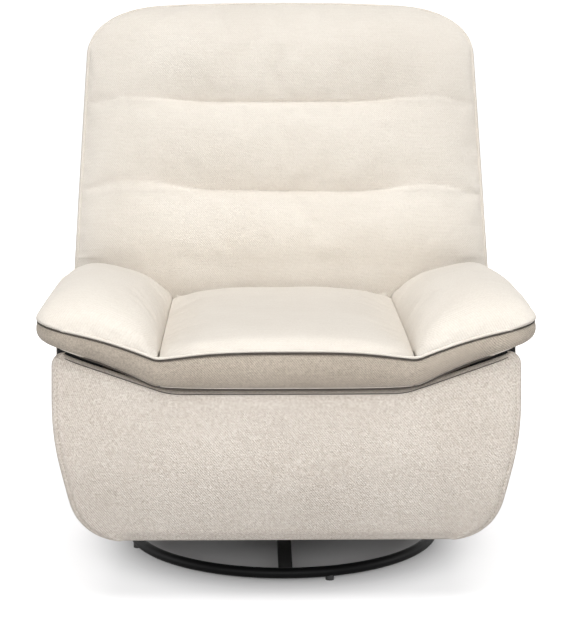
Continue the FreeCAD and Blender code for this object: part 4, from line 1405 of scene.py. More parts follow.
@dataclass
class BackForms:
    """Pillowed back, its outside shell and the roll behind the seat.

    Heights run up the leaning back from its hinge, and depths to the rear of it.
    """

    cloth: bpy.types.Material
    pivot_y: float = 0.212
    pivot_z: float = 0.415
    lean: float = math.radians(16)
    low: float = 0.0705
    high: float = 0.6385
    half_low: float = 0.421
    half_high: float = 0.392
    tongue: float = 0.012
    tongue_half: float = 0.284
    corner_wide: float = 0.160
    corner_tall: float = 0.098
    # Pillows
    swell: float = 0.104
    edge_swell: float = 0.046
    thinnest: float = 0.018
    body_round: Rounding = Rounding(3.2, 0.72)
    brow_from: float = 0.17
    brow_length: float = 0.172
    brow_round: Rounding = Rounding(2.3, 0.62)
    hem_run: tuple[float, float] = (-0.02, 0.09)
    full_middle: float = 0.76
    full_loss: float = 0.10
    full_loss_run: tuple[float, float] = (0.18, 0.34)
    pillow_ripple: Ripple = Ripple(7.0, 0.004)
    fine_ripple: Ripple = Ripple(19.0, 0.0012)
    fine_apart: float = 5.0
    arm_run: tuple[float, float] = (0.205, 0.240)
    arm_top: float = 0.03
    arm_depth: float = 0.0656
    arm_lean: float = 0.2868
    top_bow: float = 0.004
    top_bow_run: float = 0.05
    rear: float = 0.0075
    rear_over: float = 0.0035
    tongue_rear: float = -0.072
    tongue_middle: float = 0.215
    tongue_rear_side: float = -0.0432
    stuffing: Stuffing = Stuffing(farthest=0.010, growth=0.010)
    pillow_edge: Profile = (
        (0.04, 0.0005), (0.10, -0.0035), (0.16, 0.0005), (0.32, 0.005), (0.6, 0.006), (0.88, 0.004),
        (0.97, 0.003),
    )
    cord_radius: float = 0.0034
    cord_passes: int = 2
    # Channels between the pillows
    channels: tuple[float, float] = (0.238, 0.423)
    channel_depth: float = 0.025
    channel_soft: float = 0.70
    channel_sharp: float = 0.30
    channel_above: float = 0.038
    channel_below: float = 0.012
    channel_crease: float = 0.006
    channel_fade: float = 0.80
    channel_fade_run: tuple[float, float] = (0.20, 0.31)
    channel_rise: tuple[float, float] = (0.017, 0.010)
    channel_rise_run: tuple[float, float] = (0.13, 0.31)
    channel_fall: float = 0.9
    channel_fall_run: tuple[float, float] = (0.32, 0.41)
    channel_tilt: tuple[float, float] = (-0.006, 0.0)
    pinch: float = 0.006
    pinch_at: float = 0.395
    pinch_wide: float = 0.030
    pinch_tall: float = 0.010
    sewn_tall: float = 0.006
    sewn_loss: float = 0.5
    sewn_loss_run: tuple[float, float] = (0.22, 0.33)
    sewn_below: float = 0.04
    # Rows and columns of the covers
    column_step: float = 0.013
    row_step: float = 0.011
    low_rows: tuple[float, ...] = (0.0, 0.004, 0.010, 0.020)
    low_end: float = 0.03
    tongue_rows: tuple[float, ...] = (0.0, 0.03, 0.1, 0.25, 0.45, 0.65, 0.85)
    channel_rows: tuple[float, ...] = (0.0, 0.0025, 0.005, 0.008, 0.012, 0.018, 0.026)
    corner_rows: int = 16
    # Outside shell
    rim: float = 0.0068
    rim_run: float = 0.12
    rim_inset: float = 0.0015
    rim_lap: float = 0.0015
    shell_wall: float = 0.0115
    hollow: float = 0.0525
    shell_low: float = 0.089
    shell_high: float = 0.067
    shell_taper_from: float = 0.1
    shell_side_round: Rounding = Rounding(10.0, 0.5)
    shell_top_run: float = 0.03
    shell_top_length: float = 0.0305
    shell_edge_drop: float = 0.020
    shell_edge_in: float = 0.004
    shell_ripple: Ripple = Ripple(5.0, 0.0015)
    shell_apart: float = 9.0
    shell_edge: Profile = ((0.10, 0.002), (0.35, 0.003), (0.70, 0.003), (0.92, 0.0015))
    # Roll about the hinge
    roll_radius: float = 0.083
    roll_half: float = 0.214
    roll_wing: float = 0.287
    roll_end: float = 0.006
    roll_end_in: float = 0.005
    roll_step_in: float = 0.008
    roll_columns: int = 24
    roll_sides: int = 64
    roll_top_gap: float = 0.0012
    roll_cut: float = 0.0005
    roll_slack: float = 0.001

    def world(self, x: float, v: float, u: float) -> Vector:
        """Point from across, to the rear and along the back."""
        return Vector((x, self.pivot_y + v * math.cos(self.lean) + u * math.sin(self.lean),
                       self.pivot_z + u * math.cos(self.lean) - v * math.sin(self.lean)))

    def half(self, u: float) -> float:
        """Find the half width, with the wide round corners at the top.

        Args:
            u: height along the back.

        Returns:
            Half of the width there.
        """
        share = (u - self.low) / (self.high - self.low)
        straight = self.half_low + (self.half_high - self.half_low) * share
        if u < self.low:
            drop = (self.low - u) / (self.low - self.tongue)
            bow = math.sqrt(max(0.0, 1 - drop ** 2))
            return self.tongue_half + (self.half_low - self.tongue_half) * bow
        over = u - (self.high - self.corner_tall)
        if over <= 0:
            return straight
        return straight - self.corner_wide * (1 - math.sqrt(max(0.0, 1 - (over / self.corner_tall) ** 2)))

    def heights(self, tongue: bool) -> list[float]:
        """Space the rows up the back, close together at the channels and round the top corners.

        Args:
            tongue: whether the rows start at the tongue below the pillows.

        Returns:
            Rising heights.
        """
        rows = [self.low + step for step in self.low_rows]
        if tongue:
            depth = self.low - self.tongue
            rows = [self.tongue + depth * share for share in self.tongue_rows] + rows
        shoulder = self.high - self.corner_tall
        stops = [self.low + self.low_end, *self.channels, shoulder]
        for first, second in zip(stops, stops[1:]):
            length = second - first
            shares = graded(length, self.row_step, self.channel_rows)
            rows += [first + length * share for share in shares][:-1]
        for step in range(self.corner_rows + 1):
            rows.append(shoulder + self.corner_tall * math.sin(math.pi / 2 * step / self.corner_rows))
        return rows

    def channel_line(self, index: int, x: float) -> float:
        """Follow a channel, which rises a little towards the sides and falls again at the edge.

        Args:
            index: which channel.
            x: place across the back.

        Returns:
            Height of the channel there.
        """
        aside = smooth(*self.channel_rise_run, abs(x))
        aside -= self.channel_fall * smooth(*self.channel_fall_run, abs(x))
        tilt = self.channel_tilt[index] * x / self.half_low
        return self.channels[index] + self.channel_rise[index] * aside + tilt

    def puffed(self, x: float, u: float) -> float:
        """Fill the pillows, and draw them in along the channels.

        Args:
            x: place across the back.
            u: height along it.

        Returns:
            How far the middle of the pillows stands to the front.
        """
        swell = self.swell
        fade = 1.0 - self.channel_fade * smooth(*self.channel_fade_run, abs(x))
        for index in range(len(self.channels)):
            away = u - self.channel_line(index, x)
            soft = math.exp(-abs(away) / (self.channel_above if away > 0 else self.channel_below))
            sharp = math.exp(-abs(away) / self.channel_crease)
            cut = self.channel_soft * soft + self.channel_sharp * sharp
            swell -= cut * self.channel_depth * fade
            pinched = bell(abs(x) - self.pinch_at, self.pinch_wide) * bell(away, self.pinch_tall)
            swell -= self.pinch * pinched
        return swell

    def front(self, x: float, u: float, s: float) -> float:
        """Shape the front of the pillows.

        Args:
            x: place across the back.
            u: height along it.
            s: share of the half width, from -1 to 1.

        Returns:
            How far the pillows stand to the front.
        """
        brow = self.brow_round.at(clamp((u - (self.high - self.brow_from)) / self.brow_length))
        hem = smooth(self.tongue + self.hem_run[0], self.low + self.hem_run[1], u)
        full = self.full_middle - self.full_loss * smooth(*self.full_loss_run, abs(x))
        body = self.body_round.at(s)
        depth = self.edge_swell + (self.puffed(x, u) - self.edge_swell) * body
        depth = self.thinnest + (depth - self.thinnest) * brow * (full + (1 - full) * hem)
        uneven = self.pillow_ripple.at(x, 0.0, u) * body * brow
        depth += uneven + self.fine_ripple.at(x, self.fine_apart, u) * body
        behind_arm = smooth(*self.arm_run, abs(x)) * (1 - smooth(self.low, self.low + self.arm_top, u))
        return depth + (min(depth, self.arm_depth + self.arm_lean * u) - depth) * behind_arm

    def sewn(self, a: float, b: float) -> float:
        """Find how firmly the pillows are held: fast along the channels and below the seat.

        Args:
            a: share across, from the left.
            b: height in metres.

        Returns:
            Hold from 0 to 1.
        """
        x = (2 * a - 1) * self.half(b)
        lines = [self.channel_line(index, x) for index in range(len(self.channels))]
        line = max(bell(b - height, self.sewn_tall) for height in lines)
        line *= 1 - self.sewn_loss * smooth(*self.sewn_loss_run, abs(x))
        return clamp(max(line, 1 - smooth(self.low, self.low + self.sewn_below, b)))

    def pillow_face(self, a: float, b: float) -> Vector:
        """Place the front of the pillows.

        Args:
            a: share across, from the left.
            b: height in metres.

        Returns:
            The point.
        """
        s = 2 * a - 1
        x = s * self.half(b)
        bow = self.top_bow * (1 - s * s) * smooth(self.high - self.top_bow_run, self.high, b)
        return self.world(x, -self.front(x, b, s), b + bow)

    def pillow_rear(self, a: float, b: float) -> Vector:
        """Place the flat rear of the pillows.

        Args:
            a: share across, from the left.
            b: height in metres.

        Returns:
            The point.
        """
        s = 2 * a - 1
        v = self.rear
        if b < self.low:
            middle = abs(s * self.half(b)) < self.tongue_middle
            v = self.tongue_rear if middle else self.tongue_rear_side
        return self.world(s * (self.half(b) + self.rear_over), v, b)

    def shell_face(self, a: float, b: float) -> Vector:
        """Shape the outside of the back.

        Args:
            a: share across, from the left.
            b: height in metres.

        Returns:
            The point.
        """
        s = 2 * a - 1
        share = (b - self.low) / (self.high - self.low)
        taper = clamp((share - self.shell_taper_from) / (1 - self.shell_taper_from))
        depth = self.shell_low + (self.shell_high - self.shell_low) * taper
        near_top = clamp((b - (self.high - self.shell_top_run)) / self.shell_top_length)
        round_off = self.shell_side_round.at(s) * QUARTER_ROUND.at(near_top)
        depth -= self.shell_edge_drop * (1 - round_off)
        depth += self.shell_ripple.at(s, self.shell_apart, b) * round_off
        reach = self.half(b) + self.rim - self.shell_edge_in * (1 - round_off)
        return self.world(s * reach, depth, self.raised(b))

    def raised(self, u: float) -> float:
        """Height on the outside shell, whose top stands above the pillows."""
        return u + self.rim * smooth(self.high - self.rim_run, self.high, u)

    def shell_inner(self, a: float, b: float) -> Vector:
        """Shape the inside of the back: a rim against the pillows, and a hollow within it.

        Args:
            a: share across, from the left.
            b: height in metres.

        Returns:
            The point.
        """
        s = 2 * a - 1
        inside = min(self.half(b) * (1 - abs(s)), self.high - b)
        v = self.hollow if inside > self.shell_wall else self.rear - self.rim_lap
        return self.world(s * (self.half(b) + self.rim - self.rim_inset), v, self.raised(b))

    def build(self) -> list[bpy.types.Object]:
        """Make the pillows with their piping, the outside shell and the roll.

        Returns:
            The new pieces.
        """
        columns = graded(2 * self.half_low, self.column_step, SOFT_EDGE)
        pillows = PaddedForm(
            "back_pillows", self.pillow_face, self.pillow_rear, columns, self.heights(True),
            self.pillow_edge, stuffing=self.stuffing, sewn=self.sewn)
        pieces = [place(pillows.build(self.cloth), Ride.BACK, Slot.COVER, "back_cushion", fill=0.9)]
        cord = Piping("back_cord", eased(pillows.rim, self.cord_passes), self.cord_radius, closed=True)
        pieces.append(place(cord.build(self.cloth), Ride.BACK, Slot.COVER))
        shell = PaddedForm("outside_back", self.shell_face, self.shell_inner, columns,
                           self.heights(False), self.shell_edge)
        pieces.append(place(shell.build(self.cloth), Ride.BACK, Slot.COVER, "back_shell", fill=0.7))
        piece = self.roll()
        pieces.append(place(piece, Ride.BACK, Slot.COVER, "back_lower_roll", fill=0.8))
        return pieces

    def roll_ring(self, x: float) -> list[Vector]:
        """Cut the roll across; beside the seat only its rear half goes on.

        Args:
            x: place across the back.

        Returns:
            Points round the cut.
        """
        wing = abs(x) > self.roll_half + self.roll_slack
        end = abs(abs(x) - self.roll_wing) < self.roll_slack
        radius = self.roll_radius - (self.roll_end_in if end else 0.0)
        points = []
        for step in range(self.roll_sides):
            angle = 2 * math.pi * step / self.roll_sides
            v = radius * math.cos(angle)
            u = min(radius * math.sin(angle), self.low - self.roll_top_gap)
            points.append(self.world(x, max(v, self.roll_cut) if wing else v, u))
        return points

    def roll(self) -> bpy.types.Object:
        """Make the roll about the hinge.

        Returns:
            The finished object.
        """
        mesh = bmesh.new()
        cloth = mesh.loops.layers.uv.new("cloth")
        inner = self.roll_half - self.roll_step_in
        flank = [self.roll_half, self.roll_half + self.roll_end]
        flank += [self.roll_wing - self.roll_end, self.roll_wing]
        places = [-x for x in reversed(flank)]
        places += [-inner + 2 * inner * step / self.roll_columns for step in range(self.roll_columns + 1)]
        places += flank
        rings = [[mesh.verts.new(point) for point in self.roll_ring(x)] for x in places]
        arc = 2 * math.pi * self.roll_radius / self.roll_sides
        tube(mesh, cloth, rings, places, [arc * step for step in range(self.roll_sides + 1)])
        return finished(mesh, "lower_roll", self.cloth, 0)


@dataclass
class LowerForms:
    """Legrest panel, padded sides and the rear panel."""

    cloth: bpy.types.Material
    stitch: bpy.types.Material
    # Dark cloth for the line under the panel's top edge, painted shade of the gap under the boxing
    thread: bpy.types.Material
    # Near-black dust cloth for the padded sides' front ends, painted shade in the gap under the boxing, and
    # for their insides
    shade_lining: bpy.types.Material
    bottom_round: float = 0.092
    flank_up: float = 0.2875
    flank_round: float = 0.300
    arc_steps: int = 24
    # Legrest panel
    panel_bottom: float = 0.1190
    panel_bottom_half: float = 0.3620
    panel_flank_half: float = 0.4082
    panel_top_half: float = 0.406
    sill: float = 0.3865
    sill_half: float = 0.205
    sill_round: float = 0.11
    ear_knee: tuple[float, float] = (0.315, 0.4245)
    ear_knee_round: float = 0.14
    ear_tip: tuple[float, float] = (0.410, 0.4565)
    panel_front: float = -0.4495
    panel_rear: float = -0.3905
    panel_face_in: float = 0.0205
    panel_back_in: float = 0.0162
    panel_roll: float = 0.022
    panel_roll_depth: float = 0.009
    panel_crown: float = 0.012
    panel_crown_round: Rounding = Rounding(2.4, 1.0)
    panel_crown_run: tuple[float, float] = (-0.03, 0.16)
    panel_ripple: Ripple = Ripple(8.0, 0.0018)
    panel_apart: float = 3.0
    bulge: float = 0.013
    bulge_base: float = 0.4
    ear_round: float = 0.022
    flank_slant: float = 0.96
    panel_width: float = 0.79
    panel_run: float = 0.40
    panel_cells: tuple[float, float] = (0.012, 0.010)
    panel_edge: Profile = ((0.3, 0.002), (0.6, 0.0025), (0.9, 0.001))
    # Seams of the panel, and the dark line of painted shade under its top edge
    seam_inset: float = 0.009
    groove: float = 0.0022
    groove_wide: float = 0.0022
    stitch_row: int = 16
    stitch_lift: float = 0.0004
    top_inset: float = 0.0012
    top_radius: float = 0.0009
    top_ends: float = 0.02
    top_steps: int = 90
    # Padded sides
    bottom: float = 0.1245
    shell_bottom_half: float = 0.3606
    shell_flank_half: float = 0.4074
    shell_top_half: float = 0.4040
    shell_top: float = 0.4645
    shell_front: float = -0.3855
    shell_rear: float = 0.3445
    shell_inner: float = 0.3228
    side_skip: float = 0.155
    side_low: float = 0.140
    side_high: float = 0.4643
    side_drop: float = 0.095
    side_drop_run: tuple[float, float] = (0.13, 0.30)
    tail_drop: float = 0.035
    tail_lift: float = 0.05
    tail_run: tuple[float, float] = (0.28, 0.345)
    side_roll: float = 0.014
    side_roll_in: float = 0.004
    side_ripple: Ripple = Ripple(7.0, 0.0012)
    side_length: float = 0.73
    side_height: float = 0.33
    side_cells: tuple[float, float] = (0.014, 0.013)
    side_edge: Profile = ((0.12, 0.001), (0.5, 0.0005), (0.9, -0.0005))
    # Depth of the faces at a padded side's front end and inside that get the near-black cloth, painted shade
    # where the front end shows
    lining_depth: float = 0.003
    # Rear cover
    rear_half: float = 0.3215
    rear_low: float = 0.1405
    rear_height: float = 0.231
    rear_outer: float = 0.3440
    rear_inner: float = 0.3305
    rear_puff: float = 0.004
    rear_round: tuple[Rounding, Rounding] = (Rounding(8.0, 0.5), Rounding(6.0, 0.5))
    rear_cell: float = 0.02
    rear_edge: Profile = ((0.3, 0.001), (0.7, 0.001))
    side_outline: Outline = field(init=False)
    shell_outline: Outline = field(init=False)
    sill_outline: Outline = field(init=False)

    def __post_init__(self) -> None:
        """Draw the outlines of the panel, of the padded sides and of the panel's top edge."""
        self.side_outline = Outline([
            Corner(0.0, self.panel_bottom),
            Corner(self.panel_bottom_half, self.panel_bottom, self.bottom_round),
            Corner(self.panel_flank_half, self.flank_up, self.flank_round),
            Corner(self.panel_top_half, self.sill),
        ], self.arc_steps)
        self.shell_outline = Outline([
            Corner(0.0, self.bottom),
            Corner(self.shell_bottom_half, self.bottom, self.bottom_round),
            Corner(self.shell_flank_half, self.flank_up, self.flank_round),
            Corner(self.shell_top_half, self.shell_top),
        ], self.arc_steps)
        self.sill_outline = Outline([
            Corner(0.0, self.sill),
            Corner(self.sill_half, self.sill, self.sill_round),
            Corner(*self.ear_knee, self.ear_knee_round),
            Corner(*self.ear_tip),
        ])

    def panel_top(self, x: float) -> float:
        """Top edge of the panel, which climbs into ears under the arm pads."""
        return self.sill_outline.up_at(abs(x))

    def panel_rows(self) -> list[float]:
        """Space the rows of the panel up from the end of its flat bottom.

        Returns:
            Rising shares of the side outline.
        """
        flat = self.side_outline.points[1][0] / self.side_outline.length
        shares = graded(self.panel_run, self.panel_cells[1], SEAM_EDGE)
        return [flat + (1 - flat) * share for share in shares]

    def panel_point(self, a: float, b: float) -> tuple[float, float, float]:
        """Place a point of the panel seen from the front.

        Args:
            a: share across, from the left.
            b: share of the side outline.

        Returns:
            Across, up and distance from the panel's edge.
        """
        half, z = self.side_outline.at(b)
        s = 2 * a - 1
        x = s * half
        share = (z - self.panel_bottom) / (self.sill - self.panel_bottom)
        z += clamp(share) ** 2 * (self.panel_top(x) - self.sill)
        near_top = clamp(1 - (self.panel_top(half) - z) / self.ear_round)
        x -= s * self.ear_round * (1 - math.sqrt(1 - near_top ** 2)) * abs(s) ** 6
        inside = min((half - abs(x)) * self.flank_slant, self.panel_top(x) - z)
        if abs(x) <= self.side_outline.points[1][0]:
            inside = min(inside, z - self.panel_bottom)
        return x, z, inside

    def panel_face(self, a: float, b: float) -> Vector:
        """Shape the front of the panel: crowned, rolled at its edge, with a seam just inside it.

        Args:
            a: share across, from the left.
            b: share of the side outline.

        Returns:
            The point.
        """
        x, z, inside = self.panel_point(a, b)
        roll = QUARTER_ROUND.at(1 - clamp(inside / self.panel_roll))
        crown = self.panel_crown * self.panel_crown_round.at(2 * a - 1)
        crown *= smooth(*self.panel_crown_run, z - self.panel_bottom)
        groove = self.groove * bell(inside - self.seam_inset, self.groove_wide)
        share = clamp((z - self.panel_bottom) / (self.panel_top(x) - self.panel_bottom))
        bulge = self.bulge * (4 * share * (1 - share) - self.bulge_base)
        y = self.panel_front + self.panel_face_in - self.panel_roll_depth * roll - crown - bulge + groove
        y -= self.panel_ripple.at(x, self.panel_apart, z) * roll
        return Vector((x, y, z))

    def panel_back(self, a: float, b: float) -> Vector:
        """Rear of the panel, in front of its board."""
        x, z, _ = self.panel_point(a, b)
        return Vector((x, self.panel_rear - self.panel_back_in, z))

    def side_seam(self, side: int) -> list[Vector]:
        """Follow the stitches up one side of the panel.

        Args:
            side: 1 for the right side, -1 for the left.

        Returns:
            Points of the line.
        """
        last = 1 - self.seam_inset / self.side_outline.length
        points = []
        for b in [b for b in self.panel_rows()[self.stitch_row:] if b < last]:
            inset = self.seam_inset / self.flank_slant
            reach = (self.panel_point(1.0, b)[0] - inset) / self.side_outline.at(b)[0]
            points.append(self.panel_face((1 + side * reach) / 2, b) + Vector((0.0, -self.stitch_lift, 0.0)))
        return points

    def top_seam(self) -> list[Vector]:
        """Follow the closed seam under the panel's top edge, where a dark cord is laid as painted shade.

        Returns:
            Points of the line.
        """
        b = 1 - self.top_inset / self.side_outline.length
        width = 1 - 2 * self.top_ends
        steps = range(self.top_steps + 1)
        return [self.panel_face(self.top_ends + width * step / self.top_steps, b) for step in steps]

    def paint_front_shade(self, piece: bpy.types.Object) -> None:
        """Cover the hidden front end and the inside of a padded side with near-black dust cloth; on the
        front end, seen through the gap under the boxing, it is painted shade.

        Args:
            piece: the padded side.
        """
        piece.data.materials.append(self.shade_lining)
        for face in piece.data.polygons:
            corners = [piece.data.vertices[index].co for index in face.vertices]
            front_end = max(corner.y for corner in corners) < self.shell_front + self.lining_depth
            inside = max(abs(corner.x) for corner in corners) < self.shell_inner + self.lining_depth
            if front_end or inside:
                face.material_index = 1

    def side_top(self, y: float) -> float:
        """Top edge of a padded side, which drops behind the arm pad."""
        drop = self.side_drop * smooth(*self.side_drop_run, y) + self.tail_drop * smooth(*self.tail_run, y)
        return self.side_high - drop

    def side_point(self, side: int, depth: float) -> Point:
        """Shape a padded side.

        Args:
            side: 1 for the right side, -1 for the left.
            depth: 1 for the outer surface, 0 for the plane inside it.

        Returns:
            Function of a share to the rear and a share up.
        """
        def point(a: float, b: float) -> Vector:
            """Place a point on the padded side.

            Args:
                a: share to the rear.
                b: share up.

            Returns:
                The point.
            """
            y = self.shell_front + (self.shell_rear - self.shell_front) * a
            start = self.shell_outline.points[1][0] / self.shell_outline.length + self.side_skip
            half, z = self.shell_outline.at(start + (1 - start) * b)
            low = self.side_low
            z = low + (z - low) * (self.side_top(y) - low) / (self.shell_top - low)
            z = max(z, low + self.tail_lift * smooth(*self.tail_run, y) ** 2)
            roll = QUARTER_ROUND.at(1 - clamp(min(a, 1 - a) * self.side_length / self.side_roll))
            x = self.shell_inner + (half - self.side_roll_in * (1 - roll) - self.shell_inner) * depth
            x += depth * self.side_ripple.at(y, z, side)
            return Vector((side * x, y, z))
        return point

    def rear_point(self, a: float, b: float, y: float) -> Vector:
        """Point of the rear cover at a place to the rear."""
        return Vector(((2 * a - 1) * self.rear_half, y, self.rear_low + self.rear_height * b))

    def rear_face(self, a: float, b: float) -> Vector:
        """Outside of the rear cover."""
        puff = self.rear_round[0].at(2 * a - 1) * self.rear_round[1].at(2 * b - 1)
        return self.rear_point(a, b, self.rear_outer + self.rear_puff * puff)

    def rear_back(self, a: float, b: float) -> Vector:
        """Inside of the rear cover."""
        return self.rear_point(a, b, self.rear_inner)

    def build(self) -> list[bpy.types.Object]:
        """Make the panel with its seams and the dark line of painted shade under its top, the sides and the
        rear cover.

        Returns:
            The new pieces.
        """
        columns = graded(self.panel_width, self.panel_cells[0], SEAM_EDGE)
        panel = PaddedForm("front_panel", self.panel_face, self.panel_back, columns, self.panel_rows(),
                           self.panel_edge)
        pieces = [place(panel.build(self.cloth), Ride.LEGREST, Slot.COVER, "legrest_panel", fill=0.75)]
        for side, label in reversed(SIDES):
            seam = Stitches(f"panel_stitches_{label}", self.side_seam(side))
            pieces.append(place(seam.build(self.stitch), Ride.LEGREST, Slot.COVER))
        # A dark cord under the panel's top edge, painted shade of the gap under the boxing
        line = Piping("panel_top_painted_shade", self.top_seam(), self.top_radius)
        pieces.append(place(line.build(self.thread), Ride.LEGREST, Slot.COVER))
        for side, label in SIDES:
            padded_side = PaddedForm(
                f"side_{label}", self.side_point(side, 1.0), self.side_point(side, 0.0),
                graded(self.side_length, self.side_cells[0], SOFT_EDGE),
                graded(self.side_height, self.side_cells[1], SOFT_EDGE), self.side_edge)
            piece = padded_side.build(self.cloth)
            # The front end turns near-black, painted shade in the gap under the boxing
            self.paint_front_shade(piece)
            pieces.append(place(piece, Ride.CHASSIS, Slot.COVER, f"side_shell_{label}", fill=0.6))
        rear = PaddedForm(
            "rear_cover", self.rear_face, self.rear_back,
            graded(2 * self.rear_half, self.rear_cell, SOFT_EDGE),
            graded(self.rear_height, self.rear_cell, SOFT_EDGE), self.rear_edge)
        pieces.append(place(rear.build(self.cloth), Ride.CHASSIS, Slot.COVER, "rear_panel", fill=0.5))
        return pieces


# Scene


@dataclass(frozen=True)
class Softbox:
    """Rectangular area light aimed at a point."""

    name: str
    place: tuple[float, float, float]
    aim: tuple[float, float, float]
    width: float
    height: float
    power: float

    def build(self) -> None:
        """Add the light."""
        data = bpy.data.lights.new(self.name, "AREA")
        data.shape = "RECTANGLE"
        data.size = self.width
        data.size_y = self.height
        data.energy = self.power
        lamp = bpy.data.objects.new(self.name, data)
        lamp.location = self.place
        lamp.rotation_euler = (Vector(self.aim) - Vector(self.place)).to_track_quat("-Z", "Y").to_euler()
        bpy.context.scene.collection.objects.link(lamp)


@dataclass
class Studio:
    """Pale floor, soft light and the camera of the photograph."""

    camera_place: tuple[float, float, float] = (-0.055, -3.6, 1.1)
    pitch: float = 10.46
    yaw: float = -0.904
    focal_pixels: float = 1870.0
    image_height: float = 640.0
    sensor: float = 36.0
    sky: tuple[float, float, float, float] = (1.0, 0.99, 0.98, 1.0)
    sky_strength: float = 0.30
    floor_size: float = 160.0
    floor_low: Colour = (0.60, 0.592, 0.595)
    floor_high: Colour = (0.63, 0.622, 0.625)
    floor_grain: float = 3.0
    glow: Colour = (0.92, 0.92, 0.92)
    # Radii of the floor's painted shadow round the chair's foot: no glow within the first, the glow fading
    # in out to the second
    painted_shadow_core: float = 0.22
    painted_shadow_edge: float = 0.43
    glow_end: float = 4.0
    glow_near: float = 0.62
    glow_far: float = 0.38
    wall_radius: float = 60.0
    wall_height: float = 80.0
    wall_sides: int = 64
    wall_white: tuple[float, float, float, float] = (0.98, 0.98, 0.98, 1.0)
    lights: tuple[Softbox, ...] = (
        Softbox("overhead", (0.0, -1.6, 5.2), (0.0, 0.0, 0.4), 4.6, 3.6, 202.0),
        Softbox("front_fill", (0.0, -5.2, 2.4), (0.0, 0.0, 0.6), 4.0, 2.0, 40.0),
        Softbox("low_front", (0.0, -1.35, 0.44), (0.0, -0.45, 0.32), 1.9, 0.22, 6.8),
        Softbox("left_fill", (-4.0, -0.6, 0.9), (0.0, 0.0, 0.4), 2.4, 1.4, 34.0),
        Softbox("rear_fill", (0.0, 4.8, 2.2), (0.0, 0.0, 0.6), 4.0, 2.0, 62.0),
        Softbox("right_fill", (4.0, -0.6, 0.9), (0.0, 0.0, 0.4), 2.4, 1.4, 34.0),
    )

    def build(self) -> None:
        """Add the floor, the backdrop, the lights, the sky and the camera."""
        self.floor()
        self.backdrop()
        for light in self.lights:
            light.build()
        world = bpy.data.worlds.new("studio")
        world.use_nodes = True
        background = world.node_tree.nodes["Background"]
        background.inputs["Color"].default_value = self.sky
        background.inputs["Strength"].default_value = self.sky_strength
        bpy.context.scene.world = world
        bpy.context.scene.view_settings.view_transform = "Standard"
        self.camera()

    def camera(self) -> None:
        """Set the camera where the photograph was taken from."""
        data = bpy.data.cameras.new("photo_camera")
        data.sensor_fit = "VERTICAL"
        data.sensor_height = self.sensor
        data.lens = self.focal_pixels / self.image_height * self.sensor
        camera = bpy.data.objects.new("photo_camera", data)
        camera.location = self.camera_place
        camera.rotation_euler = (math.radians(90.0 - self.pitch), 0.0, math.radians(self.yaw))
        bpy.context.scene.collection.objects.link(camera)
        bpy.context.scene.camera = camera

    def floor(self) -> None:
        """Add a large matt floor that glows away from the chair and not near it, which keeps the real shadow
        under the chair and paints a darker shadow round its foot.
        """
        mesh = bmesh.new()
        bmesh.ops.create_grid(mesh, x_segments=1, y_segments=1, size=self.floor_size)
        graph = Graph("floor_white")
        solid = graph.solid()
        cloud = graph.grain(solid, self.floor_grain)
        graph.feed("Base Color", graph.mix(cloud, self.floor_low, self.floor_high))
        # The glow grows with distance from the chair, so the floor round its foot is painted dark as a
        # shadow
        away = graph.node("ShaderNodeVectorMath", {0: solid}, output="Value", operation="LENGTH")
        near_range = {"Value": away, "From Min": self.painted_shadow_core, "From Max": self.painted_shadow_edge}
        near = graph.node("ShaderNodeMapRange", near_range, interpolation_type="SMOOTHSTEP")
        far_range = {"Value": away, "From Min": self.painted_shadow_edge, "From Max": self.glow_end}
        far = graph.node("ShaderNodeMapRange", far_range)
        share = near * self.glow_near + far * self.glow_far
        graph.feed("Emission Color", graph.mix(share, (0.0, 0.0, 0.0), self.glow))
        graph.hold(Roughness=0.7, Specular_IOR_Level=0.2, Emission_Strength=1.0)
        floor = finished(mesh, "floor", graph.material, 0)
        floor.visible_diffuse = False

    def backdrop(self) -> None:
        """Add a white wall far off, seen only where a view looks over the end of the floor."""
        mesh = bmesh.new()
        bmesh.ops.create_cone(mesh, segments=self.wall_sides, radius1=self.wall_radius,
                              radius2=self.wall_radius, depth=self.wall_height)
        graph = Graph("backdrop_white")
        graph.hold(Base_Color=self.wall_white, Emission_Color=self.wall_white, Emission_Strength=1.0)
        wall = finished(mesh, "backdrop", graph.material, 0)
        wall.visible_diffuse = False
        wall.visible_shadow = False


def dress_nodes(slots: dict[Slot, bpy.types.Material]) -> None:
    """Give every construction node of the record the finish of its material slot.

    Args:
        slots: finish of each material slot.
    """
    for entry in frame["record"]["subparts"]:
        node = frame["nodes"][entry["node"]]
        node.data.materials.clear()
        node.data.materials.append(slots[Slot(entry["material_slot"])])


def stretch_springs() -> bpy.types.Object:
    """Copy the rocking springs into one welded mesh, in place of their construction node.

    Returns:
        The springs.
    """
    node = frame["nodes"]["rocker_springs"]
    mesh = bmesh.new()
    mesh.from_mesh(node.data)
    bmesh.ops.transform(mesh, matrix=node.matrix_world, verts=mesh.verts)
    bmesh.ops.remove_doubles(mesh, verts=mesh.verts, dist=WELD)
    coils = finished(mesh, "rocking_coils", node.data.materials[0], 0)
    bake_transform(coils)
    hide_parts("rocker_springs")
    return coils


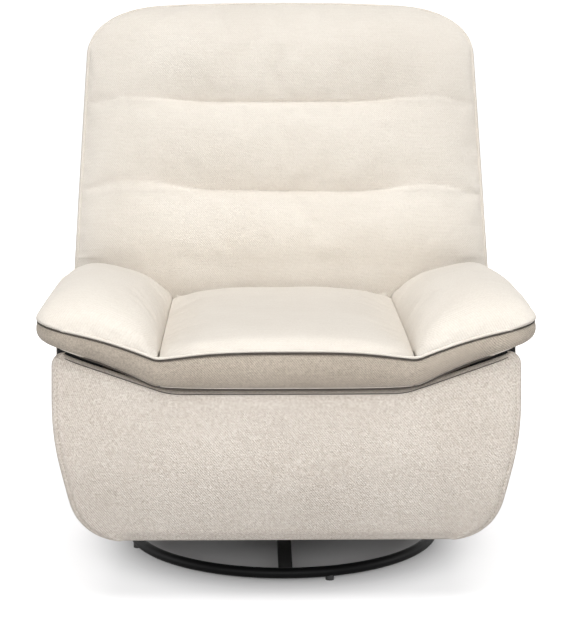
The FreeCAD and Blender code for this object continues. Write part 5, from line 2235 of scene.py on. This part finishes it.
def main() -> None:
    """Build the looks of the chair and the studio round it."""
    logging.basicConfig(level=logging.INFO, format="%(name)s: %(message)s")
    cover = TwillCloth("cream_twill", light=(0.86, 0.81, 0.735), dark=(0.56, 0.485, 0.405),
                       rib_tone=0.24).material()
    panel = TwillCloth("panel_twill", light=(0.95, 0.88, 0.805), dark=(0.54, 0.45, 0.37),
                       rib_tone=0.50, relief=0.0016, nub_tone=1.3).material()
    # The boxing gets a darker copy of the cover cloth with coarser twill, as painted shade under the seat's
    # edge
    band = TwillCloth("boxing_twill_painted_shade", light=(0.80, 0.71, 0.60), dark=(0.30, 0.24, 0.185),
                      rib_tone=0.70, relief=0.0014, nub_tone=0.8).material()
    stitch = PlainWeave("stitch_thread", light=(0.62, 0.55, 0.46), dark=(0.42, 0.36, 0.29),
                        thread=0.0012).material()
    # Dark cloth for the cords in the boxing's seams and under the panel's top: partly a dark seam, partly
    # painted shade in grooves and gaps
    thread = PlainWeave("dark_seam_and_painted_shade", light=(0.10, 0.085, 0.07), dark=(0.05, 0.04, 0.032),
                        thread=0.0014).material()
    black_coat = PowderCoat("black_coat", colour=(0.003, 0.003, 0.0032), worn=(0.007, 0.007, 0.007))
    zinc = PlatedSteel("zinc", colour=(0.62, 0.62, 0.60), stain=(0.48, 0.47, 0.44))
    plastic = MouldedPlastic("black_plastic", colour=(0.010, 0.010, 0.011), scuff=(0.03, 0.03, 0.03))
    # The frame wood is made nearly black, as painted shade in the gaps where it shows
    painted_shade_plywood = Plywood("painted_shade_plywood", light=(0.090, 0.062, 0.040), dark=(0.045, 0.030, 0.019))
    webbing = PlainWeave("webbing", light=(0.05, 0.048, 0.045), dark=(0.02, 0.02, 0.02))
    dust_cloth = PlainWeave("dust_cloth", light=(0.012, 0.012, 0.012), dark=(0.005, 0.005, 0.005),
                            thread=0.0012)
    slots = {
        Slot.COVER: cover,
        Slot.BLACK_STEEL: black_coat.material(),
        Slot.BRIGHT_STEEL: zinc.material(),
        Slot.PLASTIC: plastic.material(),
        Slot.WOOD: painted_shade_plywood.material(),
        Slot.WEBBING: webbing.material(),
        Slot.DUST: dust_cloth.material(),
    }
    dress_nodes(slots)
    pieces = [stretch_springs()]
    lower = LowerForms(panel, stitch, thread, slots[Slot.DUST])
    for forms in (SeatForms(cover, band, thread), BackForms(cover), lower):
        pieces += forms.build()
    for piece in pieces:
        LOG.info("built %s", piece.name)
    Studio().build()


if __name__ == "__main__":
    main()
